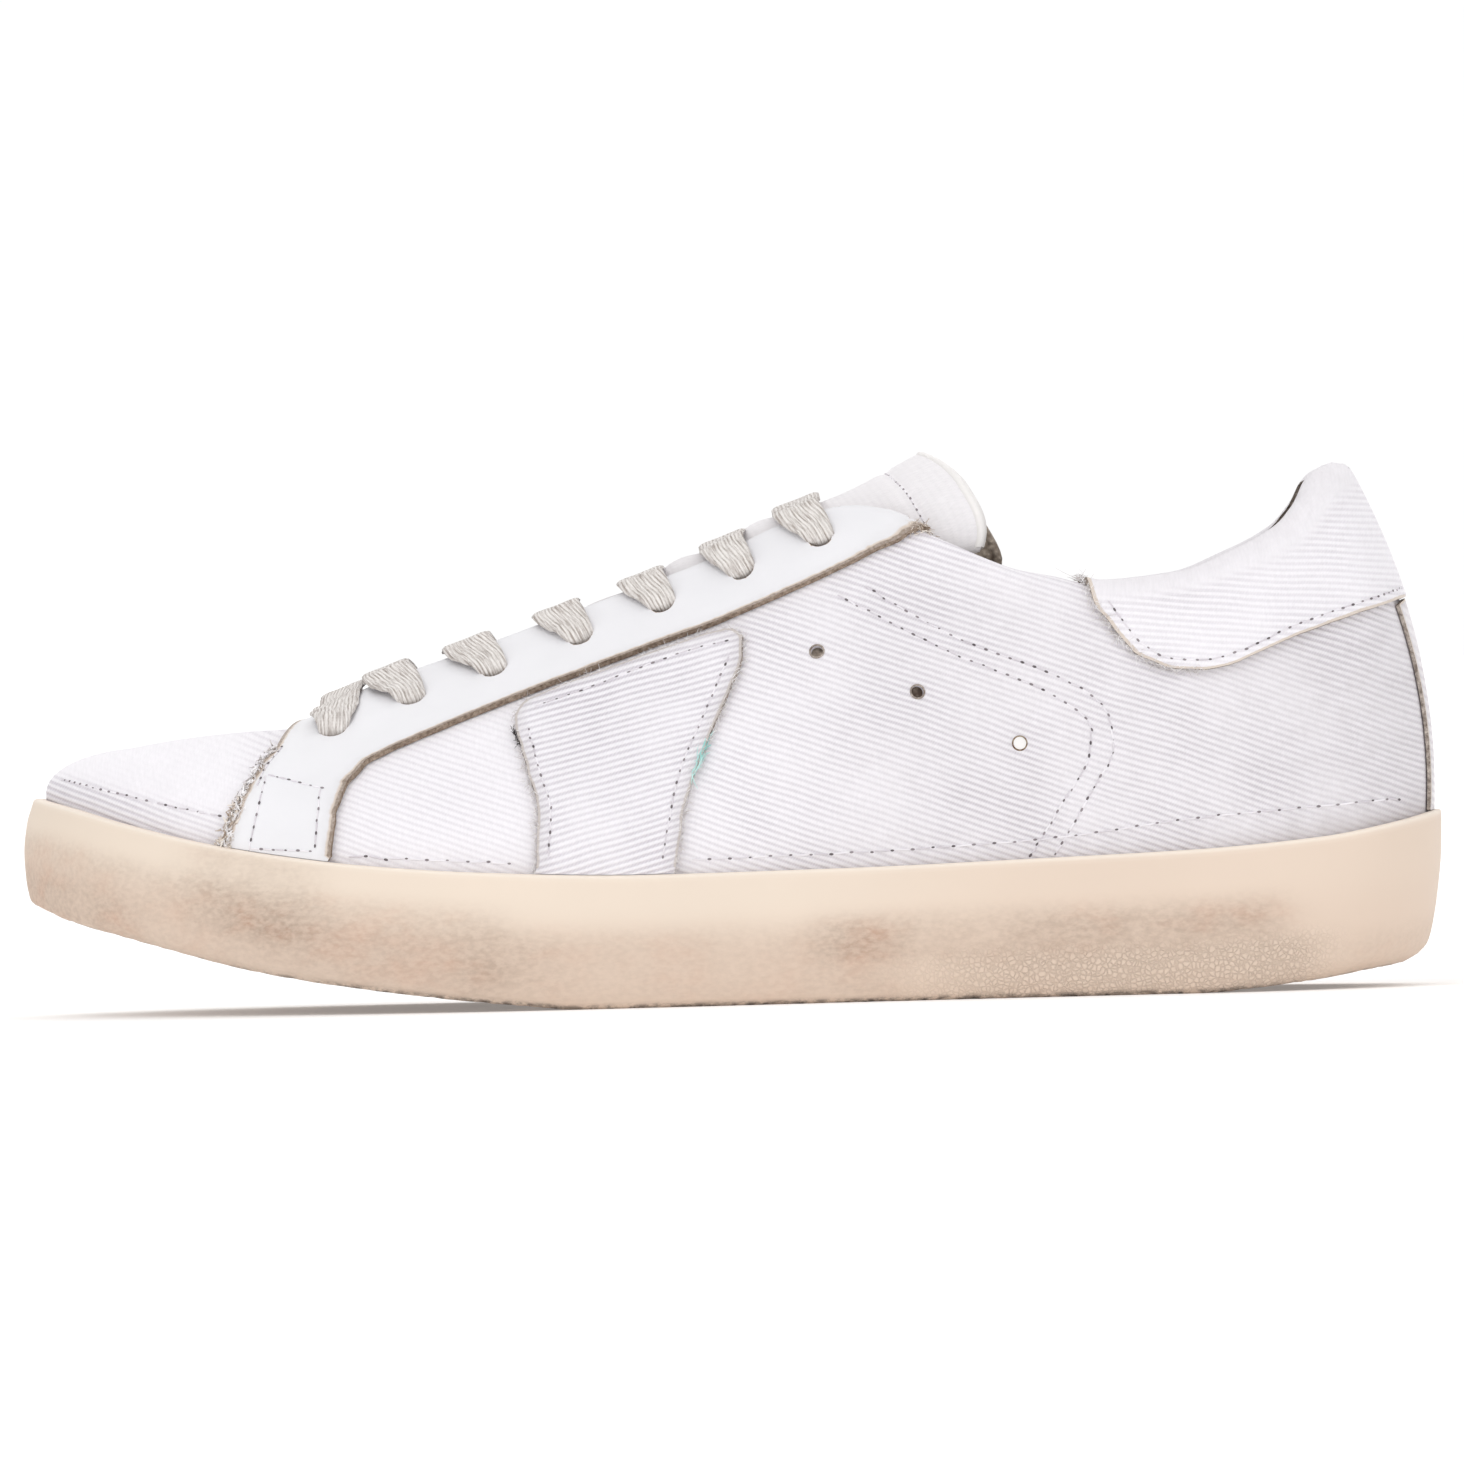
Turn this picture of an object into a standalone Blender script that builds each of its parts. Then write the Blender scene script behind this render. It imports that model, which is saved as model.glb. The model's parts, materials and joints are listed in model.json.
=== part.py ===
"""A worn low-cut lace-up sneaker for the left foot, standing empty on its sole.

Frame: +Z is up and the floor is z = 0. The toe points towards -X and the heel towards +X. The outer side of
the foot faces -Y. The origin is on the floor under the middle of the shoe.

Every outline below is written in millimetres, and shape functions work in millimetres too; a mesh gets its
metres when it is made. The upper, its overlays, the tongue and the insole all come from one last: a closed plan
outline, a top line over it, and one Bezier column from each point of the sole's rim to the top line.
"""

import math

import bpy
import bmesh
import numpy as np

MM = 0.001

# Driving dimensions, in millimetres
WALL = 2.2  # leather and lining of the upper
PAD = 5.6  # the upper's wall where the collar is padded
FIT = 0.3  # clearance between neighbouring pieces
RIM = 2.2  # thickness of the cup sole's rim
OVERLAY = 1.3  # leather laid over the upper
STRIP = 0.8  # the thinner strip up the heel
SOLE_FRONT = 10.0  # rubber under the forefoot
SOLE_HEEL = 19.0  # rubber under the heel
INSOLE_FRONT = 4.0
INSOLE_HEEL = 12.0
TONGUE = 4.0
LACE_WIDTH = 9.6
LACE = 1.0
EYELET_RADIUS = 2.7
VENT_RADIUS = 1.3

TOE_TIP = -146.0
HEEL_BACK = 146.0

# The sole's widest line in plan, as (x, y) from the toe tip along the outer side to the back of the heel
OUTER_SIDE = [
    (TOE_TIP, 7), (-141, -11), (-129, -27), (-106, -41), (-76, -50), (-44, -53), (-8, -50), (32, -43.5),
    (72, -39.5), (105, -38), (129, -30.5), (142, -16), (HEEL_BACK, 1),
]
# The same line back along the inner side, from the heel to the toe
INNER_SIDE = [(142, 18), (129, 31), (105, 37), (70, 36.5), (34, 36), (0, 40), (-34, 46), (-66, 50), (-96, 48.5),
              (-121, 40.5), (-138, 25)]

# Side profile of the sole: (x, height of the underside) and (x, height of the rim)
UNDERSIDE = [(-146, 22.6), (-139, 19.8), (-126, 16.3), (-114, 13), (-102, 9.8), (-90, 7.3), (-77, 5.2),
             (-65, 3.5), (-53, 2.0), (-42, 0.9), (-32, 0), (95, 0), (108, 0.9), (120, 2.0), (132, 3.3), (146, 4.8)]
RIM_LINE = [(-146, 45), (-138, 43), (-126, 39.7), (-110, 35.8), (-93, 32.7), (-76, 30.4), (-52, 28.4),
            (-19, 27.1), (22, 27.4), (63, 28.4), (96, 29.5), (121, 31.4), (137, 34), (146, 36)]

# How far the sole's side lies inside its widest line, at these shares of its height
SIDE_SHARES = [0.0, 0.05, 0.13, 0.3, 0.5, 0.75, 1.0]
SIDE_INSETS = {
    "toe": [3.2, 1.3, 0.7, 0.2, 0.0, 0.6, 2.3],
    "flank": [2.8, 1.0, 0.4, 0.0, 0.0, 0.3, 0.9],
    "heel": [8.5, 5.6, 3.4, 2.0, 1.0, 0.2, 0.0],
}

# Height of the upper's top line over x: the vamp's ridge, the throat's edge, the collar and the heel
TOP_HEIGHT = [(-124, 54.9), (-113, 56.6), (-99, 57.8), (-93, 58.0), (-88, 58.4), (-83, 60.2), (-75, 64.6),
              (-52, 72.8), (-8, 88.3), (26, 100.6), (33, 99.5), (41, 95.6), (52, 90.5), (60, 87.6), (77, 85.2),
              (92, 86.5), (104, 90.8), (114, 96.0), (118, 100.2), (122, 106.2), (126, 108.8)]
RIDGE_OFFSET = [(-146, 7.4), (-80, 5.9), (-8, 3.9), (60, 2.4), (146, 2.4)]  # the top line's middle, in y

# Pattern stations from toe to heel. Each is where a column's foot stands along x, where its top ends along x, half
# the opening there, the angle at which it arrives over the horizontal, how far it tips towards the toe, its outward
# flare at the rim, and how firmly its lower and upper ends hold their direction.
STATIONS = [
    (-141.0, -124.0, 0.0, 0, 0, 2, 0.30, 0.42),
    (-127.0, -113.5, 0.0, 0, 0, 5, 0.32, 0.50),
    (-106.0, -99.0, 0.0, 0, 0, 8, 0.30, 0.52),
    (-86.0, -83.0, 0.0, 0, 0, 8, 0.28, 0.48),
    (-76.0, -75.0, 8.0, 16, 18, 8, 0.28, 0.44),
    (-42.0, -52.0, 9.8, 26, 20, 8, 0.30, 0.40),
    (0.0, -8.0, 13.6, 34, 20, 7, 0.30, 0.36),
    (28.0, 26.0, 17.2, 42, 20, 6, 0.30, 0.34),
    (39.0, 40.0, 23.5, 60, 14, 6, 0.30, 0.32),
    (50.0, 52.0, 29.5, 72, 6, 6, 0.30, 0.32),
    (62.0, 62.0, 32.0, 78, 2, 6, 0.32, 0.32),
    (79.0, 78.0, 33.4, 80, 0, 6, 0.34, 0.32),
    (97.0, 95.0, 32.4, 80, 4, 7, 0.34, 0.34),
    (112.0, 107.5, 28.4, 81, 10, 8, 0.34, 0.36),
    (125.0, 116.5, 22.4, 83, 18, 8, 0.34, 0.38),
    (136.0, 123.0, 13.4, 86, 24, 5, 0.33, 0.38),
    (143.5, 126.0, 0.0, 88, 27, 3, 0.33, 0.36),
]
THROAT_FRONT = 3  # the station where the two sides part
THROAT_CORNER = 4  # the station where the throat's rounded front ends
COLLAR_FRONT = 8  # the station from which the wall is padded

# Side outlines of the overlays, as (x, z)
EYESTAY = [(-103.2, 25), (-103.0, 34.6), (-99.5, 43.8), (-95.7, 50.2), (-91.6, 55.6), (-88.6, 60), (-88, 80),
           (16, 130), (24, 130), (41.1, 96.2), (27.6, 89.9), (15.1, 84.4), (-1.6, 77.5), (-34.8, 66.1),
           (-51.4, 59.9), (-68, 53.5), (-74.2, 50.6), (-78, 46.6), (-80.4, 41), (-81.9, 30.6), (-82, 25)]
SIDE_PATCH = [(-40.5, 20), (-39.5, 40), (-43.5, 55.5), (-42, 61.6), (-34, 64.8), (-4, 75), (2.6, 75.4),
              (3.2, 70), (-8, 46), (-13, 20)]
HEEL_TAB = [(69.5, 120), (73.2, 84.2), (75.6, 79), (78.8, 74.4), (83, 69.4), (89.8, 66.3), (97.4, 65.9),
            (103, 67), (116.5, 72.6), (130, 77), (138.1, 79.4), (160, 84), (160, 125)]
BACK_STRIP_HALF = 9.0
BACK_STRIP_TOP = 78.0

# The tongue from its root under the vamp to its free end: (x, z) of its crest, the slope of its length, half its
# width and its height as an arch, and the half angle of the arch that it spans, in degrees
TONGUE_SECTIONS = [
    (-92.0, 54.0, 20, 16, 10, 62),
    (-82.0, 57.6, 22, 15, 11, 62),
    (-70.0, 63.4, 22, 15.5, 13, 62),
    (-54.0, 71.0, 20, 17.5, 16, 64),
    (-35.0, 78.6, 20, 19.5, 20, 66),
    (-17.0, 85.9, 21, 21, 23, 68),
    (0.0, 93.2, 22, 22, 25, 70),
    (15.0, 100.3, 24, 22.0, 25, 72),
    (26.0, 104.6, 26, 21.8, 25, 76),
    (34.0, 108.6, 28, 21.6, 24.5, 82),
    (40.6, 112.0, 30, 22.2, 24, 88),
]
TONGUE_LOBE = 4.8  # how far its free end bulges on either side of its crest

# Side places of the punched eyelets, and of the crest of the lace bar that each pair carries, as (x, z)
EYELETS = [(-80.9, 56.1), (-64.7, 62.5), (-47.7, 68.2), (-29.8, 74.6), (-12.8, 81.0), (3.8, 87.6), (19.8, 94.0)]
BAR_CRESTS = [(-79.2, 66.6), (-70.7, 70.6), (-54.1, 75.2), (-35.4, 82.0), (-17.8, 88.5), (-0.7, 95.7), (14.5, 102.8)]
VENTS = [(18.1, 71.6), (38.4, 62.9), (59.0, 51.9)]
LACE_END = 3.4  # a bar's width where it enters its eyelets

COLUMNS = 42  # along each side
ROWS = 9  # from the rim to the top line
SIDES = {"outer": -1, "inner": 1}


def clear_scene():
    """Remove every object that the file starts with."""
    for obj in list(bpy.data.objects):
        bpy.data.objects.remove(obj, do_unlink=True)


def smooth(knots, values, at):
    """Monotone cubic through the knots, read at any positions; values may have several columns."""
    x = np.asarray(knots, float)
    y = np.asarray(values, float)
    at = np.clip(np.asarray(at, float), x[0], x[-1])
    if y.ndim == 1:
        return smooth(x, y[:, None], at)[..., 0]
    step = np.diff(x)[:, None]
    slope = np.diff(y, axis=0) / step
    tangent = np.zeros_like(y)
    tangent[0], tangent[-1] = slope[0], slope[-1]
    before, after = slope[:-1], slope[1:]
    with np.errstate(divide="ignore", invalid="ignore"):
        mean = 2 * before * after / (before + after)
    tangent[1:-1] = np.where(before * after > 0, mean, 0.0)
    k = np.clip(np.searchsorted(x, at, side="right") - 1, 0, len(x) - 2)
    h = step[k]
    t = ((at - x[k])[..., None]) / h
    return ((1 + 2 * t) * (1 - t) ** 2 * y[k] + t * (1 - t) ** 2 * h * tangent[k]
            + t * t * (3 - 2 * t) * y[k + 1] + t * t * (t - 1) * h * tangent[k + 1])


def profile(pairs, x):
    """Read a side profile, given as (x, value) pairs, at x."""
    pairs = np.array(pairs, float)
    return smooth(pairs[:, 0], pairs[:, 1], x)


def closed_outline(points, steps=24):
    """Dense points along the closed Catmull-Rom curve through the given plan points."""
    p = np.array(points, float)
    before, after, beyond = np.roll(p, 1, 0), np.roll(p, -1, 0), np.roll(p, -2, 0)
    dense = []
    for t in np.arange(steps) / steps:
        dense.append(0.5 * (2 * p + (after - before) * t + (2 * before - 5 * p + 4 * after - beyond) * t * t
                            + (3 * p - before - 3 * after + beyond) * t ** 3))
    return np.stack(dense, axis=1).reshape(-1, 2)


OUTLINE_STEPS = 24
DENSE = closed_outline(OUTER_SIDE + INNER_SIDE, OUTLINE_STEPS)
DENSE[:, 1] -= (DENSE[:, 1].max() + DENSE[:, 1].min()) / 2
HEEL_INDEX = (len(OUTER_SIDE) - 1) * OUTLINE_STEPS


def half_outline(side):
    """Dense plan points of one side of the sole, from the toe tip to the back of the heel."""
    if side < 0:
        return DENSE[:HEEL_INDEX + 1]
    return np.vstack([DENSE[:1], DENSE[:HEEL_INDEX - 1:-1]])


def ring(v, side, inset):
    """Plan points and outward directions at share v of one side, moved inwards by inset."""
    points = half_outline(side)
    run = np.concatenate([[0], np.cumsum(np.linalg.norm(np.diff(points, axis=0), axis=1))])
    run /= run[-1]
    x, y = np.interp(v, run, points[:, 0]), np.interp(v, run, points[:, 1])
    reach = 0.012
    low, high = v - reach, v + reach

    def mirrored(share):
        """Points at shares that may pass the toe or heel on to the other side."""
        other = half_outline(-side)
        other_run = np.concatenate([[0], np.cumsum(np.linalg.norm(np.diff(other, axis=0), axis=1))])
        other_run /= other_run[-1]
        folded = np.where(share < 0, -share, np.where(share > 1, 2 - share, share))
        own = np.stack([np.interp(folded, run, points[:, 0]), np.interp(folded, run, points[:, 1])], -1)
        far = np.stack([np.interp(folded, other_run, other[:, 0]), np.interp(folded, other_run, other[:, 1])], -1)
        return np.where(((share < 0) | (share > 1))[..., None], far, own)

    along = mirrored(high) - mirrored(low)
    along /= np.linalg.norm(along, axis=-1, keepdims=True)
    outward = side * np.stack([-along[..., 1], along[..., 0]], -1)
    place = np.stack([x, y], -1) - outward * np.asarray(inset)[..., None]
    return place, outward


def side_inset(x, share):
    """How far the sole's side lies inside its widest line at a share of its height."""
    toe = np.clip((-x - 96) / 40, 0, 1)
    heel = np.clip((x - 100) / 36, 0, 1)
    toe, heel = toe * toe * (3 - 2 * toe), heel * heel * (3 - 2 * heel)
    parts = {name: np.interp(share, SIDE_SHARES, values) for name, values in SIDE_INSETS.items()}
    return parts["flank"] * (1 - toe - heel) + parts["toe"] * toe + parts["heel"] * heel


def foot_shares():
    """Shares v along the outer side at which the stations' feet stand."""
    points = half_outline(-1)
    run = np.concatenate([[0], np.cumsum(np.linalg.norm(np.diff(points, axis=0), axis=1))])
    shares = np.interp([s[0] for s in STATIONS], points[:, 0], run / run[-1])
    shares[0], shares[-1] = 0.0, 1.0
    return shares


STATION_SHARES = foot_shares()
STATION_VALUES = np.array(STATIONS, float)[:, 1:]


def column_shares(count):
    """Shares of the columns along a side: closer at toe and heel, and one exactly at the throat's front."""
    even = np.linspace(0, 1, count + 1)
    shares = 0.75 * even + 0.25 * 0.5 * (1 - np.cos(np.pi * even))
    nearest = np.abs(shares - STATION_SHARES[THROAT_FRONT]).argmin()
    shares[nearest] = STATION_SHARES[THROAT_FRONT]
    return shares


def top_edge(v, side):
    """The top line at share v: a point, the direction in which its column arrives, and the column's grip."""
    values = smooth(STATION_SHARES, STATION_VALUES, v)
    top_x, gap, lift, tip, flare, low, high = np.moveaxis(values, -1, 0)
    start, corner = STATION_SHARES[THROAT_FRONT], STATION_SHARES[THROAT_CORNER]
    radius = STATION_VALUES[THROAT_CORNER, 1]
    turn = np.clip((v - start) / (corner - start), 0, 1) * np.pi / 2
    rounding = (v > start) & (v < corner)
    top_x = np.where(rounding, STATION_VALUES[THROAT_FRONT, 0] + radius * (1 - np.cos(turn)), top_x)
    gap = np.where(v <= start, 0, np.where(rounding, radius * np.sin(turn), gap))
    place = np.stack([top_x, profile(RIDGE_OFFSET, top_x) + side * gap, profile(TOP_HEIGHT, top_x)], -1)
    lift, tip, flare = np.radians(lift), np.radians(tip), np.radians(flare)
    return place, lift, tip, flare, low, high


def skin(v, r, side):
    """The upper's outer face: share v along a side, and r from the rim (0) to the top line (1)."""
    v, r = np.broadcast_arrays(np.asarray(v, float), np.asarray(r, float))
    x_foot = ring(v, side, np.zeros_like(v))[0][..., 0]
    inset = side_inset(x_foot, 1.0) + RIM + FIT
    foot, outward = ring(v, side, inset)
    start = np.concatenate([foot, profile(RIM_LINE, x_foot)[..., None] + 2 * FIT], -1)
    place, lift, tip, flare, low, high = top_edge(v, side)
    out = np.concatenate([outward, np.zeros_like(outward[..., :1])], -1)
    inward = (place - start) * np.array([1, 1, 0]) - 4 * out
    inward /= np.linalg.norm(inward, axis=-1, keepdims=True)
    ramp = np.clip((profile(TOP_HEIGHT, place[..., 0] + 1) - profile(TOP_HEIGHT, place[..., 0] - 1)) / 2, 0, 1)
    ramp = ramp * np.clip(1 - lift / math.radians(12), 0, 1)
    up = np.stack([-np.sin(tip), np.zeros_like(tip), np.cos(tip)], -1)
    arrive = np.cos(lift)[..., None] * inward + np.sin(lift)[..., None] * up
    arrive[..., 2] += ramp * inward[..., 0]
    leave = np.sin(flare)[..., None] * out + np.cos(flare)[..., None] * np.array([0, 0, 1.0])
    chord = np.linalg.norm(place - start, axis=-1)
    first = start + leave * (low * chord)[..., None]
    second = place - arrive * (high * chord)[..., None]
    t = r[..., None]
    return (start * (1 - t) ** 3 + 3 * first * t * (1 - t) ** 2 + 3 * second * t * t * (1 - t) + place * t ** 3)


def skin_normal(v, r, side):
    """Outward unit direction of the upper's outer face."""
    step = 1e-3
    low_v, high_v = np.clip(v - step, 0, 1), np.clip(v + step, 0, 1)
    low_r, high_r = np.clip(r - step, 0, 1), np.clip(r + step, 0, 1)
    along = skin(high_v, r, side) - skin(low_v, r, side)
    up = skin(v, high_r, side) - skin(v, low_r, side)
    normal = side * np.cross(up, along)
    return normal / np.linalg.norm(normal, axis=-1, keepdims=True)


def on_skin(x, z, side):
    """Share and height (v, r) of the face's point that the side view shows at (x, z)."""
    v_low, v_high, r_low, r_high = 0.0, 1.0, 0.0, 1.0
    for _ in range(7):
        v, r = np.meshgrid(np.linspace(v_low, v_high, 41), np.linspace(r_low, r_high, 41), indexing="ij")
        p = skin(v, r, side)
        i, j = np.unravel_index(((p[..., 0] - x) ** 2 + (p[..., 2] - z) ** 2).argmin(), v.shape)
        v_span, r_span = (v_high - v_low) / 8, (r_high - r_low) / 8
        v_low, v_high = max(0, v[i, j] - v_span), min(1, v[i, j] + v_span)
        r_low, r_high = max(0, r[i, j] - r_span), min(1, r[i, j] + r_span)
    return v[i, j], r[i, j]


def new_object(name, mesh, material=None):
    """Link a mesh object to the scene, shaded smooth with its hard edges kept."""
    obj = bpy.data.objects.new(name, mesh)
    bpy.context.scene.collection.objects.link(obj)
    if material:
        obj.data.materials.append(material)
    mesh.shade_smooth()
    mesh.set_sharp_from_angle(angle=math.radians(40))
    return obj


def mesh_from(name, points, faces):
    """A mesh in metres from millimetre points, merged where it meets itself, with its faces outwards."""
    mesh = bpy.data.meshes.new(name)
    mesh.from_pydata((np.asarray(points) * MM).tolist(), [], faces)
    work = bmesh.new()
    work.from_mesh(mesh)
    bmesh.ops.remove_doubles(work, verts=work.verts, dist=1e-7)
    bmesh.ops.dissolve_degenerate(work, edges=work.edges, dist=1e-7)
    bmesh.ops.recalc_face_normals(work, faces=work.faces)
    work.to_mesh(mesh)
    work.free()
    return mesh


def around(shares):
    """(v, side) of every column once round the shoe: toe, outer side, heel, and back along the inner side."""
    outer = [(v, -1) for v in shares]
    inner = [(v, 1) for v in shares[-2:0:-1]]
    return outer + inner


def loop_faces(columns, rows, start=0):
    """Triangles of a closed band: columns run round, rows run from its first to its last edge."""
    faces = []
    for i in range(columns):
        j = (i + 1) % columns
        for k in range(rows - 1):
            a, b = start + i * rows + k, start + j * rows + k
            faces += [[a, b, b + 1], [a, b + 1, a + 1]]
    return faces


def ladder_faces(columns, rows, row, start=0):
    """Faces that fill one edge of a band, as rungs from its outer to its inner side."""
    half = columns // 2
    at = [start + (i % columns) * rows + row for i in range(columns + 1)]
    faces = [[at[0], at[1], at[columns - 1]], [at[half - 1], at[half], at[half + 1]]]
    for i in range(1, half - 1):
        faces.append([at[i], at[i + 1], at[columns - i - 1], at[columns - i]])
    return faces


def crest(v, offset):
    """Point over the vamp's ridge that both sides share."""
    ends = [skin(v, 1.0, side) + skin_normal(v, 1.0, side) * offset for side in (-1, 1)]
    return (ends[0] + ends[1]) / 2


def shell_points(shares, rows, offset=0.0, tucked=False):
    """Grid of the upper's outer face moved out by offset, with the part inside the cup if tucked."""
    points = []
    r = np.linspace(0, 1, rows + 1)
    for v, side in around(shares):
        column = skin(np.full_like(r, v), r, side)
        if offset:
            column = column + skin_normal(np.full_like(r, v), r, side) * offset
            if v <= STATION_SHARES[THROAT_FRONT]:
                column[-1] = crest(v, offset)
        if tucked:
            foot = column[0]
            floor = cup_floor(foot[0]) + FIT
            below = [[foot[0], foot[1], floor], [foot[0], foot[1], (floor + foot[2]) / 2]]
            column = np.vstack([below, column])
        points.append(column)
    return np.array(points)


def cup_floor(x):
    """Height of the cup sole's inside floor."""
    thick = smooth([TOE_TIP, -40, 60, HEEL_BACK], [SOLE_FRONT, SOLE_FRONT, SOLE_HEEL, SOLE_HEEL], x)
    return profile(UNDERSIDE, x) + thick


def shell_mesh(name, shares, rows, offset, tucked):
    """An open sheet over the last; its two sides meet along the vamp's ridge."""
    points = shell_points(shares, rows, offset, tucked)
    columns, height, _ = points.shape
    return mesh_from(name, points.reshape(-1, 3), loop_faces(columns, height))


def thicken(obj, thickness, outwards, group=None):
    """Give a sheet its wall, inwards or outwards."""
    wall = obj.modifiers.new("Wall", "SOLIDIFY")
    wall.thickness = thickness * MM
    wall.offset = 1.0 if outwards else -1.0
    wall.use_rim = True
    wall.use_even_offset = False
    if group:
        wall.vertex_group = group
    return wall


def cut(obj, cutter, operation="DIFFERENCE"):
    """Add an exact Boolean to an object."""
    boolean = obj.modifiers.new(operation.title(), "BOOLEAN")
    boolean.operation = operation
    boolean.object = cutter
    boolean.solver = "EXACT"
    return boolean


def helper(obj):
    """Keep a cutter out of the model."""
    obj.hide_render = True
    obj.display_type = "WIRE"
    return obj


def side_prism(name, outline, y_low, y_high):
    """Cutter whose outline is drawn in the side view."""
    points = [(x, y_low, z) for x, z in outline] + [(x, y_high, z) for x, z in outline]
    n = len(outline)
    faces = [list(range(n)), list(range(2 * n - 1, n - 1, -1))]
    faces += [[i, (i + 1) % n, n + (i + 1) % n, n + i] for i in range(n)]
    return helper(new_object(name, mesh_from(name, points, faces)))


def hole_cutters(name, places, radius, depth, sides):
    """Round punches square to the upper's face at each side-view place, as one cutter."""
    work = bmesh.new()
    segments = 8
    for x, z in places:
        for side in sides:
            v, r = on_skin(x, z, side)
            centre, normal = skin(v, r, side), skin_normal(v, r, side)
            across = np.cross(normal, [1.0, 0.0, 0.0])
            across /= np.linalg.norm(across)
            third = np.cross(normal, across)
            loops = []
            for end in (-depth, depth):
                loop = []
                for k in range(segments):
                    a = 2 * math.pi * k / segments
                    at = centre + normal * end + radius * (math.cos(a) * across + math.sin(a) * third)
                    loop.append(work.verts.new(at * MM))
                loops.append(loop)
            for k in range(segments):
                n = (k + 1) % segments
                work.faces.new([loops[0][k], loops[0][n], loops[1][n], loops[1][k]])
            work.faces.new(loops[0][::-1])
            work.faces.new(loops[1])
    bmesh.ops.recalc_face_normals(work, faces=work.faces)
    mesh = bpy.data.meshes.new(name)
    work.to_mesh(mesh)
    work.free()
    return helper(new_object(name, mesh))


def material(name, colour, roughness):
    """A plain finish for one kind of piece."""
    made = bpy.data.materials.new(name)
    made.use_nodes = True
    shader = made.node_tree.nodes["Principled BSDF"]
    shader.inputs["Base Color"].default_value = (*colour, 1.0)
    shader.inputs["Roughness"].default_value = roughness
    shader.inputs["Metallic"].default_value = 0.0
    return made


def build_sole(finish):
    """Cup sole: one moulding with a rounded side, a thin rim and a floor for the insole."""
    shares = column_shares(COLUMNS)
    columns = around(shares)
    points = []
    for v, side in columns:
        x = ring(v, side, 0.0)[0][0]
        low, high = profile(UNDERSIDE, x), profile(RIM_LINE, x)
        for share in SIDE_SHARES:
            place, _ = ring(v, side, side_inset(x, share))
            points.append([*place, low + (high - low) * share])
        inner = side_inset(x, 1.0) + RIM
        place, _ = ring(v, side, inner)
        points.append([*place, high])
        points.append([*place, cup_floor(place[0])])
    rows = len(SIDE_SHARES) + 2
    faces = loop_faces(len(columns), rows)
    faces += ladder_faces(len(columns), rows, 0)
    faces += ladder_faces(len(columns), rows, rows - 1)
    return new_object("cup_sole", mesh_from("cup_sole", points, faces), finish)


def build_insole(finish):
    """Insole: a shaped slab on the cup's floor, thicker under the heel, just inside the upper's wall."""
    shares = column_shares(COLUMNS)
    columns = around(shares)
    points = []
    bevel = 0.8
    for v, side in columns:
        x = ring(v, side, 0.0)[0][0]
        inset = side_inset(x, 1.0) + RIM + FIT + WALL + FIT
        edge, _ = ring(v, side, inset)
        inner, _ = ring(v, side, inset + bevel)
        floor = cup_floor(edge[0]) + FIT
        thick = smooth([TOE_TIP, -30, 100, HEEL_BACK], [INSOLE_FRONT, INSOLE_FRONT, INSOLE_HEEL, INSOLE_HEEL], edge[0])
        points += [[*edge, floor], [*edge, floor + thick - bevel], [*inner, floor + thick]]
    faces = loop_faces(len(columns), 3)
    faces += ladder_faces(len(columns), 3, 0)
    faces += ladder_faces(len(columns), 3, 2)
    return new_object("insole", mesh_from("insole", points, faces), finish)


def build_upper(finish, punches):
    """Upper: one hollow wall from the cup's floor to the collar, padded round the ankle."""
    shares = column_shares(COLUMNS)
    mesh = shell_mesh("upper", shares, ROWS, 0.0, True)
    obj = new_object("upper", mesh, finish)
    group = obj.vertex_groups.new(name="wall")
    front = STATION_VALUES[COLLAR_FRONT, 0] + 6
    for vertex in mesh.vertices:
        x, z = vertex.co.x / MM, vertex.co.z / MM
        below_top = profile(TOP_HEIGHT, x) - z
        ankle = np.clip((x - front) / 20, 0, 1)
        padded = ankle * np.clip(1 - (below_top - 6) / 26, 0, 1)
        group.add([vertex.index], float((WALL + (PAD - WALL) * padded) / PAD), "REPLACE")
    thicken(obj, PAD, False, "wall")
    for punch in punches:
        cut(obj, punch)
    return obj


def build_overlay(name, cutter, finish, thickness=OVERLAY, punches=()):
    """A leather overlay: a thin shell just off the upper, kept only inside its cutter."""
    mesh = shell_mesh(name, column_shares(COLUMNS), ROWS, FIT, False)
    obj = new_object(name, mesh, finish)
    thicken(obj, thickness, True)
    cut(obj, cutter, "INTERSECT")
    for punch in punches:
        cut(obj, punch)
    return obj


def arch_section(x, face, across):
    """Points across the tongue at crest x: its upper face (0) or its underside (1)."""
    table = np.array(TONGUE_SECTIONS, float)
    z, slope, half, height, span = smooth(table[:, 0], table[:, 1:], x)
    slope, span = math.radians(slope), math.radians(span)
    normal = np.array([-math.sin(slope), 0, math.cos(slope)])
    crest_point = np.array([x, profile(RIDGE_OFFSET, x), z])
    a = span * np.linspace(-1, 1, across)
    thin = TONGUE * (0.45 + 0.55 * np.sqrt(np.clip(np.cos(np.linspace(-1, 1, across) * np.pi / 2), 0, 1)))
    width, rise = half - face * thin, height - face * thin
    u = np.abs(np.linspace(-1, 1, across))
    rising = np.clip(u / 0.45, 0, 1)
    lobe = np.where(u < 0.45, rising * rising * (3 - 2 * rising), 1 - np.clip((u - 0.45) / 0.55, 0, 1) ** 4)
    lobe = lobe * np.clip((x - 15) / 25.6, 0, 1) ** 2
    along = np.array([math.cos(slope), 0, math.sin(slope)])
    return (crest_point + np.outer(width * np.sin(a), [0, 1, 0]) + np.outer(rise * np.cos(a) - height, normal)
            + np.outer(TONGUE_LOBE * lobe, along))


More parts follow.
